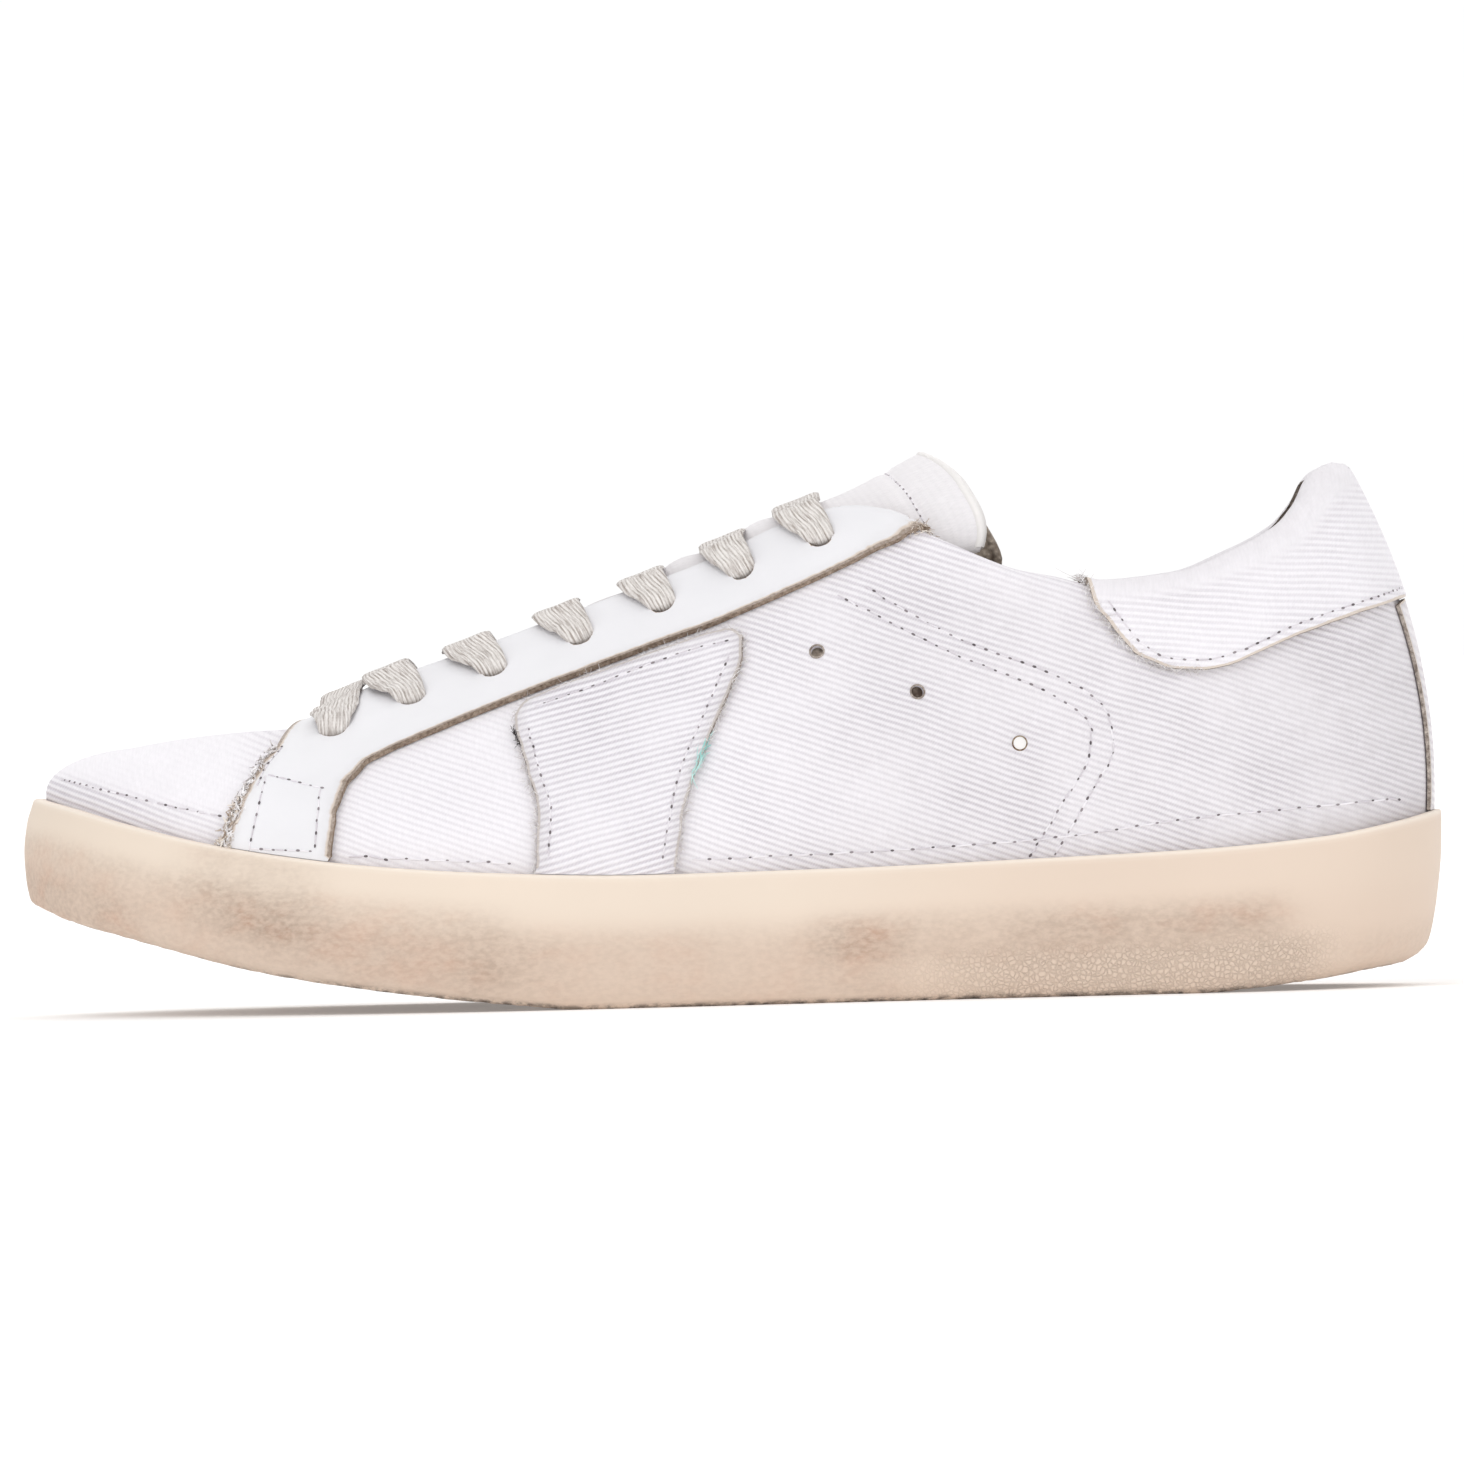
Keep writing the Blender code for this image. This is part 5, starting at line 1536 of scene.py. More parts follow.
@dataclass
class Tongue:
    """Padded tongue: an arch under the laces, swelling between them, with a bound free edge."""

    last: Last
    thickness: float = 4.0
    lobe: float = 3.9
    flap: tuple[float, float, float] = (4.2, 0.0, -3.6)  # how far the inner lower corner hangs, in x, y and z
    stations: int = 150
    across: int = 44
    # Crest x and z, slope, half width, arch height and half angle
    SECTIONS: ClassVar = [(-92.0, 54.0, 20, 16, 10, 62), (-82.0, 57.6, 22, 15, 11, 62), (-70.0, 63.4, 22, 15.5, 13, 62),
                          (-54.0, 71.0, 20, 17.5, 16, 64), (-35.0, 78.6, 20, 19.5, 20, 66),
                          (-17.0, 85.9, 21, 21, 23, 68), (0.0, 93.2, 22, 22, 25, 70), (15.0, 100.3, 24, 22.0, 25, 72),
                          (26.0, 104.6, 26, 21.8, 25, 76), (34.0, 108.6, 28, 21.6, 24.5, 82),
                          (40.6, 112.0, 30, 22.2, 24, 88)]
    # Swelling between the laces: crest x, height, half length
    SWELLS: ClassVar = [(-62.4, 0.5, 6.0), (-44.8, 0.7, 7.0), (-26.6, 0.9, 6.5), (-9.0, 2.1, 6.0), (6.6, 2.0, 5.5)]

    def section(self, x: float, a: Array, face: float, swell: float = 1.0) -> Array:
        """Points across the tongue.

        Args:
            x: Place of its crest along the shoe.
            a: Shares across, from -1 at the outer edge to 1 at the inner edge.
            face: 0 for its upper face, 1 for its underside.
            swell: How much of the padding's swelling it gets.

        Returns:
            The points, in millimetres.
        """
        table = np.array(self.SECTIONS, float)
        z, slope, half, height, span = smooth(table[:, 0], table[:, 1:], x)
        slope, span = math.radians(slope), math.radians(span)
        normal = np.array([-math.sin(slope), 0, math.cos(slope)])
        crest = np.array([x, float(profile(self.last.RIDGE_OFFSET, x)), z])
        turn = span * a
        thin = self.thickness * (0.45 + 0.55 * np.sqrt(np.clip(np.cos(a * np.pi / 2), 0, 1)))
        raised = sum(h * math.exp(-((x - c) / w) ** 2) for c, h, w in self.SWELLS) * swell
        puff = raised * np.cos(np.clip(a, -1, 1) * np.pi / 2) * (1 - face)
        width, rise = half - face * thin, height - face * thin
        u = np.abs(a)
        lobe = np.where(u < 0.62, ease(0, 0.62, u), 1 - np.clip((u - 0.62) / 0.38, 0, 1) ** 4)
        lobe = lobe * np.clip((x - 15) / 25.6, 0, 1) ** 2
        flap = ease(0.84, 1.0, a) * ease(18, 40.6, x)
        way = np.array([math.cos(slope), 0, math.sin(slope)])
        seam = 0.5 * math.exp(-((x - 33.0) / 0.9) ** 2) * (1 - face)
        return (crest + np.outer(width * np.sin(turn), [0, 1, 0])
                + np.outer(rise * np.cos(turn) - height + puff - seam, normal) + np.outer(self.lobe * lobe, way)
                + np.outer(flap, self.flap))

    def seam(self, x: float, spacing: float) -> Array:
        """Place and axes of every stitch of a row sewn across the tongue's upper face at crest x."""
        a = np.linspace(-0.85, 0.85, 200)
        line, ahead = self.section(x, a, 0.0), self.section(x + 0.1, a, 0.0)
        run = runs(line)
        pick = np.searchsorted(run, np.arange(spacing / 2, run[-1], spacing))
        way = unit(np.gradient(line, axis=0))[pick]
        out = unit(np.cross(unit(ahead - line)[pick], way))
        return np.stack([way, np.cross(out, way), out, line[pick]], -1)

    def free_edge(self, a: Array, face: float = 0.5) -> Array:
        """Points along the tongue's free end."""
        return self.section(self.SECTIONS[-1][0], a, face)

    def build(self, finishes: Finishes) -> None:
        """Model the padded tongue and its binding, and hand them over."""
        first, end = self.SECTIONS[0][0], self.SECTIONS[-1][0]
        a = np.linspace(-1, 1, self.across + 1)
        loops, soil = [], []
        inside = np.concatenate([[0], np.zeros(len(a)), [0], np.ones(len(a)), [0]])
        xs = np.linspace(first, end, self.stations)
        for x in xs:
            upper, under = self.section(x, a, 0.0), self.section(x, a[::-1], 1.0)
            side_in = (upper[-1] + under[0]) / 2 + unit(upper[-1] - upper[-2]) * 0.8
            side_out = (upper[0] + under[-1]) / 2 + unit(upper[0] - upper[1]) * 0.8
            loops.append(np.vstack([side_out, upper, side_in, under, side_out]))
            # painted shade with some dirt: the tongue greyer towards its front, low in the throat under the laces
            soil.append(np.full(len(loops[-1]), 0.10 + 0.25 * float(1 - ease(-30, 20, x))))
        middle = self.free_edge(a)
        loops.append(np.vstack([middle[:1], middle, middle[-1:], middle[::-1], middle[:1]]))
        soil.append(soil[-1])
        xs = np.append(xs, end + 2)
        points = np.stack(loops)
        cloth = np.stack([runs(points), np.repeat(xs[:, None], points.shape[1], 1) * 1.07], -1)
        piece = sheet("tongue_padded", points, cloth, {"soil": np.stack(soil), "plain": np.full(points.shape[:2], 0.85),
                                                       "lining": np.broadcast_to(inside, points.shape[:2])})
        close_ends(piece)
        hand_over(piece, [finishes.tongue_twill, finishes.terry], "white_twill", ["tongue"], angle=60)
        self.line(piece)
        self.bind(finishes)

    @staticmethod
    def line(piece: Piece) -> None:
        """Put the second material, the lining's, on the faces whose points are all marked as lining."""
        lining = np.zeros(len(piece.data.vertices))
        piece.data.attributes["lining"].data.foreach_get("value", lining)
        for face in piece.data.polygons:
            face.material_index = int(min(lining[k] for k in face.vertices) > 0.5)

    def bind(self, finishes: Finishes) -> None:
        """The rolled binding round the free end."""
        a = np.linspace(-1.0, 1.0, 90)
        path = self.free_edge(a)
        before = self.section(self.SECTIONS[-1][0] - 1.0, a, 0.5)
        forward = unit(path - before)
        way = unit(np.gradient(path, axis=0))
        thick = unit(np.cross(way, forward))
        full = np.linalg.norm(self.free_edge(a, 0.0) - self.free_edge(a, 1.0), axis=1) / 2 + 0.25
        points = np.stack([path + forward * (1.25 * math.cos(turn) - 0.55) + thick * (full * math.sin(turn))[:, None]
                           for turn in np.linspace(0, 2 * np.pi, 17)], 1)
        lining = np.repeat(ease(0.78, 0.8, a)[:, None], 17, 1)
        cloth = np.stack([np.repeat(runs(path)[:, None], 17, 1), np.tile(np.linspace(0, 8, 17), (len(a), 1))], -1)
        piece = sheet("tongue_binding", points, cloth, {"soil": np.full(points.shape[:2], 0.12),
                                                        "edge": np.full(points.shape[:2], 9.0), "lining": lining})
        close_ends(piece)
        hand_over(piece, [finishes.trim, finishes.terry], "white_leather", angle=60)
        self.line(piece)


@dataclass
class LaceBar:
    """One bar of flat woven lace, gathered where it comes out of its eyelets and flat over the tongue."""

    last: Last
    number: int
    hole: tuple[float, float]
    crest: tuple[float, float]
    width: float = 10.4
    thickness: float = 1.0
    end_width: float = 4.8

    def route(self, side: int) -> list[tuple[Array, Array]]:
        """Half the bar's middle line, from its eyelet to the throat's edge, each point with its width's direction."""
        last = self.last
        seat = last.fit + last.overlay + last.fit + self.thickness / 2 + 0.2
        v, r = last.find([self.hole], side)[0]
        table = np.linspace(last.shares[1], 1, 400)
        v_top = float(np.interp(self.hole[0] + 0.7 * (self.crest[0] - self.hole[0]), last.top_edge(table)[0], table))
        centre, out = last.skin(v, r, side), last.normal(v, r, side)
        ahead = unit(last.skin(v + 0.3 * (v_top - v), r + 0.3 * (1 - r), side) - centre)

        def wide(at_v: float, at_r: float) -> Array:
            """Direction along the face from toe to heel."""
            step = last.skin(at_v + 0.01, at_r, side) - last.skin(at_v - 0.01, at_r, side)
            if at_r > 0.5:
                step[1] *= np.clip((at_v - last.v_corner) / 0.04, 0, 1)
            return unit(step)

        own = wide(v, r)
        places = [(centre - 1.3 * ahead + out * (last.fit - 0.6), own),
                  (centre - 0.9 * ahead + out * (last.fit + last.overlay), own),
                  (centre + 1.2 * ahead + out * (seat + 0.35), own)]
        for share in (0.45, 0.75, 1.0):
            at_v, at_r = v + share * (v_top - v), r + share * (1 - r)
            near = last.skin(at_v + np.linspace(-0.017, 0.017, 9), at_r, side) - last.skin(at_v, at_r, side)
            rest = max(0.0, float((near @ last.normal(at_v, at_r, side)).max()))
            lift = seat + 0.15 + 0.35 * share + 1.2 * rest
            place = last.skin(at_v, at_r, side) + last.normal(at_v, at_r, side) * lift
            place[0] += 0.7 * share ** 3 * (self.crest[0] - place[0])
            places.append((place, wide(at_v, at_r)))
        places.append((places[-1][0] + np.array([0, -1.6 * side, 0.1]), places[-1][1]))
        return places

    def build(self, finishes: Finishes) -> None:
        """Model the bar and hand it over."""
        middle = np.array([self.crest[0], float(profile(self.last.RIDGE_OFFSET, self.crest[0])),
                           self.crest[1] - self.thickness / 2])
        throat = np.array([math.cos(math.radians(20)), 0, math.sin(math.radians(20))])
        stops = self.route(-1) + [(middle, throat)] + self.route(1)[::-1]
        line = np.array([place for place, _ in stops])
        widths = np.array([wide for _, wide in stops])
        knots = runs(line)
        at = np.linspace(0, knots[-1], 64)
        path, broad = (hermite(knots, rows, np.gradient(rows, knots, axis=0), at) for rows in (line, widths))
        way = unit(np.gradient(path, axis=0))
        broad = unit(broad - way * (broad * way).sum(1, keepdims=True))
        high = np.cross(broad, way)
        high *= np.sign(high[:, 2:3].sum() or 1.0)
        reach = np.minimum(at, knots[-1] - at)
        width = self.end_width + (self.width - self.end_width) * np.clip((reach - 0.5) / 13.0, 0, 1) ** 0.9
        curl = (1 - ease(0, 7.0, reach)) * 0.9
        s = np.linspace(-1, 1, 15)
        face = np.sqrt(np.clip(1 - s ** 6, 0, 1))
        rng = np.random.default_rng(20 + self.number)
        wave = 0.16 * np.sin(at * 1.3 + rng.uniform(0, 6))[:, None] * s[None]
        level, bow = path[:, None] + broad[:, None] * (width[:, None] * s / 2)[..., None], wave - curl[:, None] * s ** 2
        upper, under = (level + high[:, None] * (bow + half * face)[..., None]
                        for half in (self.thickness / 2, -self.thickness / 2))
        points = np.concatenate([upper, under[:, -2:0:-1], upper[:, :1]], 1)
        across = np.concatenate([s, s[-2:0:-1], s[:1]])
        cloth = np.stack([across[None] * width[:, None] / 2 + self.number * 17,
                          np.repeat(at[:, None], points.shape[1], 1) + self.number * 5], -1)
        # darker towards both ends, as painted shade where the lace goes into its eyelet, and a little darker along its
        # edges
        tip = (1 - ease(0.3, 2.6, reach))[:, None] * 0.6 + 0.3 * (np.abs(across)[None] ** 12)
        piece = sheet(f"lace_bar_{self.number}_woven", points, cloth, {"soil": np.clip(tip, 0, 0.9)})
        close_ends(piece)
        hand_over(piece, [finishes.lace], "cotton_lace", [f"lace_bar_{self.number}"], angle=60)


@dataclass(frozen=True)
class Seam:
    """One sewn row: its line on the side view, the sides that have it, and the surface it lies on."""

    line: Line
    sides: tuple[Side, ...] = BOTH
    offset: float = 0.0
    straight: bool = False
    spacing: float = 2.63


@dataclass
class Stitching:
    """Every sewn row, as single stitches of white thread with dark discs of painted shade at the needle holes between
    them.
    """

    last: Last
    cloth: UpperCloth
    thread: float = 0.17  # radius, millimetres
    # size of the disc of painted shade at each needle hole
    hole: tuple[float, float] = (0.42, 0.23)  # half length and half width of a needle hole, millimetres

    def template(self, length: float) -> Piece:
        """One stitch along +X: a thread that dives into the cloth at both ends."""
        piece = rod("stitch", bpy.ops.mesh.primitive_cylinder_add, [k * length for k in (-0.36, -0.2, 0.2, 0.36)],
                    vertices=6, radius=self.thread * MM, depth=length * MM)
        points = points_of(piece)
        share = np.abs(points[:, 0]) / (length / 2)
        points[:, 2] += 0.12 - 0.42 * share ** 3
        place_points(piece, points)
        return piece

    def pinhole(self) -> Piece:
        """One needle hole's painted shade: a small flat dark disc."""
        piece = started("pinhole", bpy.ops.mesh.primitive_circle_add, vertices=8, radius=1 * MM, fill_type="TRIFAN")
        place_points(piece, points_of(piece) * np.array([*self.hole, 1.0]))
        return piece

    def frames(self, seam: Seam, side: Side) -> Array:
        """Place and axes of every stitch of one row on one side."""
        last = self.last
        line = along(np.array(seam.line, float), 1.0) if seam.straight else rounded(seam.line, 1.0)
        shares = last.find(line, side.value)
        face = last.laid(*shares.T, side.value, seam.offset)
        run = runs(face)
        at = np.arange(seam.spacing / 2, run[-1], seam.spacing)
        v, r = columns_at(at, run, shares).T
        on_cloth = seam.offset < 0.2
        place = self.cloth.shape(v, r, side.value) if on_cloth else last.laid(v, r, side.value, seam.offset)
        out = last.lean(v, r, side.value)[1]
        ahead = columns_at(at + 0.5, run, face) - columns_at(at - 0.5, run, face)
        ahead = unit(ahead - out * (ahead * out).sum(1, keepdims=True))
        return np.stack([ahead, np.cross(out, ahead), out, place], -1)

    def build(self, name: str, seams: Sequence[Seam], finishes: Finishes) -> None:
        """Sew the rows that lie on the upper as one piece, with the painted shade of their needle holes as another."""
        self.lay(name, [self.frames(seam, side) for seam in seams for side in seam.sides], seams[0].spacing,
                 len(seams) + 11, finishes)

    def lay(self, name: str, rows: Sequence[Array], spacing: float, seed: int, finishes: Finishes) -> None:
        """Lay stitches and the painted shade of their needle holes at given places.

        Args:
            name: Name of the stitches' piece.
            rows: Place and axes of every stitch, one array per row.
            spacing: Millimetres from stitch to stitch.
            seed: Start of the random draws.
            finishes: The shoe's materials.
        """
        holes = []
        rng = np.random.default_rng(seed)
        for frames in rows:
            turn = rng.normal(0, 0.05, len(frames))
            x, y = frames[:, :, 0].copy(), frames[:, :, 1].copy()
            frames[:, :, 0] = x * np.cos(turn)[:, None] + y * np.sin(turn)[:, None]
            frames[:, :, 1] = y * np.cos(turn)[:, None] - x * np.sin(turn)[:, None]
            hole = frames.copy()
            hole[:, :, :2] *= rng.uniform(0.7, 1.15, (len(frames), 1, 1))
            hole[:, :, 3] += frames[:, :, 0] * (spacing / 2) + frames[:, :, 2] * 0.07
            holes.append(hole)
        piece = scatter(name, self.template(spacing * 0.86), np.concatenate(rows))
        hand_over(piece, [finishes.thread], "white_twill")
        shade_dots = scatter(f"{name}_pinholes", self.pinhole(), np.concatenate(holes))
        hand_over(shade_dots, [finishes.pinhole], "white_twill")


@dataclass
class Fray:
    """Loose fibres along a torn edge."""

    last: Last
    name: str
    line: Line
    sides: tuple[Side, ...]
    count: int
    length: tuple[float, float]  # shortest and longest, millimetres
    spread: float  # how far the roots stray from the line, millimetres
    offset: tuple[float, float]  # lowest and highest root over the cloth, millimetres
    radius: float
    follow: float  # how closely the fibres follow the edge
    seed: int

    def template(self) -> Piece:
        """One straight fibre of unit length along +X."""
        piece = rod("fibre", bpy.ops.mesh.primitive_cone_add, (-0.25, 0.0, 0.25), vertices=3, radius1=self.radius * MM,
                    radius2=0.3 * self.radius * MM, depth=1.0 * MM)
        points = points_of(piece)
        points[:, 0] += 0.5
        place_points(piece, points)
        return piece

    def build(self, finish: Material, slot: str) -> None:
        """Scatter the fibres and hand them over."""
        rng = np.random.default_rng(self.seed)
        frames, bends = [], []
        for side in self.sides:
            line = along(np.array(self.line, float), 0.6)
            shares = self.last.find(line, side.value)
            pick = rng.uniform(0, len(shares) - 1.001, self.count)
            i, t = pick.astype(int), (pick % 1)[:, None]
            at = shares[i] * (1 - t) + shares[i + 1] * t
            at = at + rng.normal(0, 1, at.shape) * self.spread / np.array([self.last.run, self.last.rise])
            at = np.clip(at, 0, 1)
            height = rng.uniform(*self.offset, self.count)
            place, out, _ = self.last.lean(*at.T, side.value)
            place = place + out * height[:, None]
            ends = self.last.laid(*shares[i + 1].T, side.value) - self.last.laid(*shares[i].T, side.value)
            edge = unit(ends) * rng.choice([-1, 1], self.count)[:, None]
            cross = np.cross(out, edge)
            way = unit(edge * self.follow + cross * rng.normal(0, 0.7, self.count)[:, None]
                       + out * rng.normal(0.08, 0.22, self.count)[:, None])
            third = unit(np.cross(way, out))
            long = rng.uniform(*self.length, self.count)
            frames.append(np.stack([way * long[:, None], third, np.cross(third, way) * -1, place], -1))
            bends.append(rng.normal(0, 0.22, (self.count, 2)) * long[:, None])
        piece = scatter(self.name, self.template(), np.concatenate(frames), np.concatenate(bends))
        hand_over(piece, [finish], slot, angle=80)


@dataclass
class Vent:
    """A small stamped ring round a vent hole, the last of them plugged."""

    last: Last
    number: int
    spot: tuple[float, float]
    plugged: bool = False
    ring: float = 1.42
    wire: float = 0.2

    def build(self, finishes: Finishes) -> None:
        """Model the ring, and what fills it, and hand them over."""
        v, r = self.last.find([self.spot], -1)[0]
        place, out, _ = self.last.lean(v, r, -1, 0.1)
        put = standing(place, out)
        ring = started(f"vent_ring_{self.number}", bpy.ops.mesh.primitive_torus_add, major_radius=self.ring * MM,
                       minor_radius=self.wire * MM, major_segments=28, minor_segments=10)
        ring.data.transform(put)
        hand_over(ring, [finishes.metal if self.plugged else finishes.pale_raw], "white_twill", angle=60)
        if self.plugged:
            plug = started(f"vent_plug_{self.number}", bpy.ops.mesh.primitive_uv_sphere_add, segments=20, ring_count=10,
                           radius=self.ring * MM)
            plug.data.transform(put @ Matrix.Diagonal((0.98, 0.98, 0.32, 1)))
            hand_over(plug, [finishes.trim], "white_twill", angle=60)
            paint(plug, "edge", np.full(len(plug.data.vertices), 9.0))


@dataclass
class Studio:
    """Pale paper floor, soft light and a long camera at the photograph's angle."""

    centre: tuple[float, float] = (0.382, 55.34)  # x and z in the middle of the frame, millimetres
    frame: float = 301.26  # width of the frame at the shoe, millimetres
    distance: float = 4000.0
    height: float = 85.0
    roll: float = 1.38  # degrees
    sky: float = 0.42
    key: float = 0.95
    fill: float = 0.75
    rear: float = 1.25

    def camera(self) -> None:
        """Stand the camera on the outer side, nearly level, rolled as the photograph is."""
        data = bpy.data.cameras.new("camera")
        data.sensor_width = 36.0
        data.sensor_fit = "HORIZONTAL"
        data.lens = 36.0 * self.distance / self.frame
        data.clip_start, data.clip_end = 0.1, 60.0
        camera = bpy.data.objects.new("camera", data)
        bpy.context.scene.collection.objects.link(camera)
        target = Vector((self.centre[0], 0, self.centre[1])) * MM
        stand = Vector((self.centre[0], -self.distance, self.height)) * MM
        look = (target - stand).normalized()
        right = look.cross(Vector((0, 0, 1))).normalized()
        up = right.cross(look)
        angle = math.radians(self.roll)
        axis_x = right * math.cos(angle) - up * math.sin(angle)
        axis_y = right * math.sin(angle) + up * math.cos(angle)
        turn = Matrix((axis_x, axis_y, -look)).transposed().to_4x4()
        camera.matrix_world = Matrix.Translation(stand) @ turn
        bpy.context.scene.camera = camera

    def sun(self, name: str, source: tuple[float, float, float], spread: float, strength: float) -> None:
        """One distant soft light: where it comes from, how many degrees it spreads over, and its strength."""
        data = bpy.data.lights.new(name, "SUN")
        data.angle, data.energy = math.radians(spread), strength
        lamp = bpy.data.objects.new(name, data)
        bpy.context.scene.collection.objects.link(lamp)
        lamp.rotation_euler = (-Vector(source)).to_track_quat("-Z", "Y").to_euler()

    def build(self) -> None:
        """Set up the studio."""
        floor = started("studio_floor", bpy.ops.mesh.primitive_plane_add, size=30)
        floor.data.materials.append(StudioPaper().build())
        world = bpy.data.worlds.new("studio")
        r = Recipe(world)
        height = r.add("SeparateXYZ", r.add("TexCoord", out="Generated"), out="Z")
        glow = r.add("MapRange", height, 0.04, 0.12, 1.02, self.sky)
        r.add("OutputWorld", r.add("Background", (1, 1, 1, 1), glow))
        bpy.context.scene.world = world
        bpy.context.scene.view_settings.view_transform = "Standard"
        self.sun("key", (-0.55, -0.75, 1.0), 45, self.key)
        self.sun("fill", (0.7, -0.9, 0.35), 80, self.fill)
        self.sun("back", (0.1, 0.8, 1.0), 80, self.rear)
        self.camera()


EYELETS = ((-80.9, 56.1), (-64.7, 62.5), (-47.7, 68.2), (-29.8, 74.6), (-12.8, 81.0), (3.8, 87.6), (19.8, 94.0))
BAR_CRESTS = ((-79.2, 66.6), (-70.7, 70.6), (-54.1, 75.2), (-35.4, 82.0), (-17.8, 88.5), (-0.7, 95.7), (14.5, 102.8))
EYESTAY_EDGE = ((41.1, 96.2), (27.6, 89.9), (15.1, 84.4), (-1.6, 77.5), (-34.8, 66.1), (-51.4, 59.9), (-68, 53.5),
                (-74.2, 50.6), (-78, 46.6), (-80.4, 41), (-81.9, 30.6), (-82, 28), (-103.2, 28), (-103.0, 34.6),
                (-99.5, 43.8), (-95.7, 50.2), (-92.6, 53.6))
PATCH_EDGE = ((-40.3, 26), (-39.5, 40), (-41.5, 48), (-43.5, 55.5), (-43.6, 59), (-42, 61.6), (-34, 64.8), (-4, 75),
              (1, 76), (3.4, 74.5), (3.2, 70), (-2, 59), (-8, 46), (-10.6, 36), (-12.4, 26))
TAB_EDGE = ((72.4, 87.5), (73.2, 84.2), (75.6, 79), (78.8, 74.4), (83, 69.4), (89.8, 66.3), (97.4, 65.9), (103, 67),
            (116.5, 72.6), (130, 77), (138.1, 79.4))


def build_overlays(last: Last, finishes: Finishes) -> None:
    """Eyestay, side patch, heel tab and back strip."""
    Eyestay(last, "eyestay", EYESTAY_EDGE).build(BOTH, [finishes.leather, finishes.raw], "white_leather", EYELETS, 2.5)
    Overlay(last, "side_patch", PATCH_EDGE, ragged=0.3, seed=7).build(
        OUTER_ONLY, [finishes.patch_twill, finishes.pale_raw], "white_twill")
    HeelTab(last, "heel_tab", TAB_EDGE, seed=9).build(BOTH, [finishes.tab_twill, finishes.pale_raw], "white_twill")
    BackStrip(last, "back_strip", (), thickness=0.8, ragged=0.0).build(
        BOTH, [finishes.strip_twill, finishes.pale_raw], "white_twill")


def sew(last: Last, cloth: UpperCloth, tongue: Tongue, finishes: Finishes) -> None:
    """The sewn rows, by the piece that they hold."""
    top = last.fit + last.overlay
    needle = Stitching(last, cloth)
    needle.build("quarter_stitches", [
        Seam(((27.9, 84.9), (45.7, 74.2), (72.6, 62.2), (77.2, 57), (78.1, 50.8), (74, 42.7), (66, 29.5))),
        Seam(((22.3, 83.2), (43.6, 71.6), (69.6, 59.2), (73.6, 54.4), (73.1, 49.3), (67.5, 39.7), (60.9, 29.2)))],
        finishes)
    needle.build("toe_stitches", [Seam(((-137.9, 49), (-125.8, 46), (-113.5, 42.9), (-104.5, 41.0)))], finishes)
    needle.build("welt_stitches", [
        Seam(((-78.8, 32.3), (-60, 31.0), (-43.5, 29.9)), spacing=4.2),
        Seam(((-9, 29.9), (20, 30.4), (61.2, 32.1), (96.2, 35.9), (137.5, 38.7)), spacing=4.2)], finishes)
    needle.build("eyestay_stitches", [
        Seam(((-94.7, 48), (-83.6, 45.2)), offset=top, straight=True),
        Seam(((-83.6, 45.2), (-84.7, 33.5)), offset=top, straight=True),
        Seam(((-94.7, 48), (-97.9, 34.5)), offset=top, straight=True),
        Seam(((-97.9, 34.5), (-84.7, 33.5)), offset=top, straight=True),
        Seam(((-96.6, 45.6), (-94.9, 49.2), (-91.2, 53.6)), offset=top)], finishes)
    needle.build("patch_stitches", [
        Seam(((-37.6, 31), (-37.0, 40), (-39.0, 48), (-40.9, 56)), OUTER_ONLY, top),
        Seam(((-40.0, 60.4), (-33.0, 62.6), (-4, 72.4), (0.2, 73.2)), OUTER_ONLY, top),
        Seam(((0.6, 70.6), (-4.6, 59.6), (-10.6, 46.8), (-13.2, 37), (-14.4, 31)), OUTER_ONLY, top)], finishes)
    needle.build("tab_stitches", [
        Seam(((77.6, 80.6), (80.4, 76.4), (84.4, 71.4), (90.2, 68.4), (97.2, 67.8), (102.4, 68.9), (116, 74.4),
              (129.5, 78.8), (137.2, 81.2)), offset=top)], finishes)
    needle.lay("tongue_stitches", [tongue.seam(33.0, 1.7)], 1.7, 12, finishes)


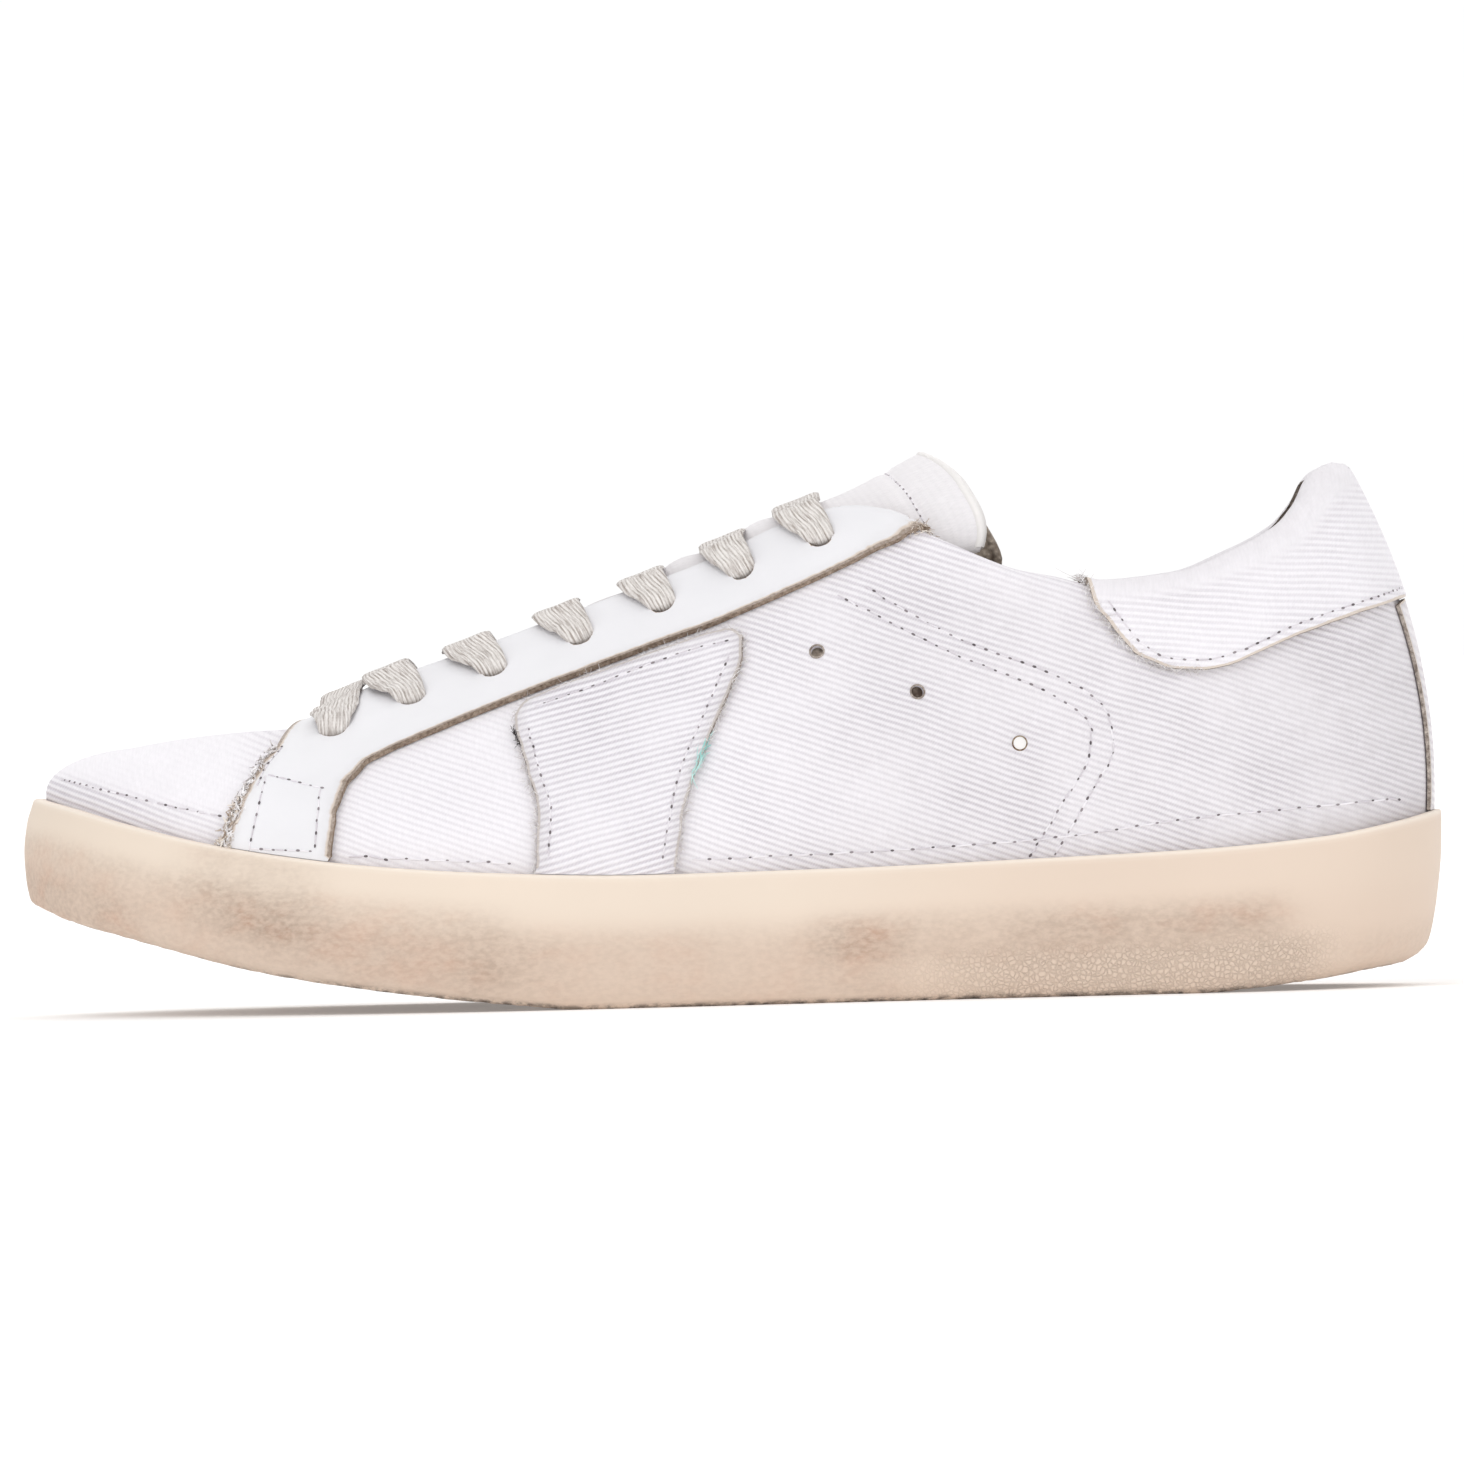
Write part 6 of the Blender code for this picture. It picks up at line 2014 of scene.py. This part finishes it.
def fray(last: Last, finishes: Finishes) -> None:
    """Torn edges: the eyestay's front edge, the patch and the heel tab's front corner."""
    front = ((-103.6, 33.5), (-102.0, 38), (-99.6, 43.8), (-95.9, 50.2), (-92.6, 53.8))
    brown, grey = finishes.fray_brown, finishes.fray_grey
    rows = (
        (brown, "white_leather", "eyestay_fray_brown", front[:3], BOTH, 300, (0.7, 1.7), 0.7, (0.1, 1.7), 0.3, 1.0, 2),
        (grey, "white_leather", "eyestay_fray_grey", front, BOTH, 460, (0.7, 1.6), 0.6, (0.3, 1.9), 0.27, 1.2, 3),
        (grey, "white_twill", "patch_fray_grey", PATCH_EDGE, OUTER_ONLY, 1000, (0.7, 2.0), 0.4, (0.3, 1.7), 0.08, 0.6,
         4),
        (finishes.teal, "white_twill", "patch_fray_teal", ((-7.9, 46.6), (-6.2, 50.4), (-4.4, 54.4)), OUTER_ONLY, 70,
         (1.6, 3.2), 0.22, (0.5, 1.7), 0.2, 3.0, 5),
        (finishes.black, "white_twill", "patch_fray_black", ((-43.6, 56.0), (-42.8, 53.2)), OUTER_ONLY, 34, (0.9, 1.8),
         0.25, (0.5, 1.6), 0.12, 2.0, 6),
        (grey, "white_twill", "tab_fray_grey", TAB_EDGE[:7], BOTH, 420, (0.7, 2.2), 0.5, (0.3, 1.8), 0.09, 0.6, 8),
        (grey, "white_twill", "tab_loose_threads", TAB_EDGE[:2], OUTER_ONLY, 4, (4.0, 6.5), 0.5, (1.0, 1.9), 0.1, 0.4,
         12),
        (brown, "white_leather", "eyestay_tip_fray", ((38.0, 95.0), (40.6, 96.4), (41.4, 97.2)), BOTH, 70, (1.0, 2.4),
         0.6, (0.3, 1.9), 0.12, 0.6, 10))
    for finish, slot, *shape in rows:
        Fray(last, *shape).build(finish, slot)


def main() -> None:
    """Build the studio, then the shoe's sub-assemblies in order."""
    logging.basicConfig(level=logging.INFO, format="%(message)s", stream=sys.stdout)
    for left_over in list(bpy.data.objects):
        bpy.data.objects.remove(left_over, do_unlink=True)
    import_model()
    Studio().build()
    last = Last()
    finishes = Finishes()
    CupSole(last).build(finishes)
    Footbed(last).build(finishes)
    cloth = UpperCloth(last)
    cloth.build(finishes)
    Lining(last).build(finishes)
    build_overlays(last, finishes)
    tongue = Tongue(last)
    tongue.build(finishes)
    for number, (hole, crest) in enumerate(zip(EYELETS, BAR_CRESTS), start=1):
        LaceBar(last, number, hole, crest).build(finishes)
    sew(last, cloth, tongue, finishes)
    fray(last, finishes)
    for number, spot in enumerate(cloth.vents, start=1):
        Vent(last, number, spot, plugged=number == 3).build(finishes)


if __name__ == "__main__":
    main()
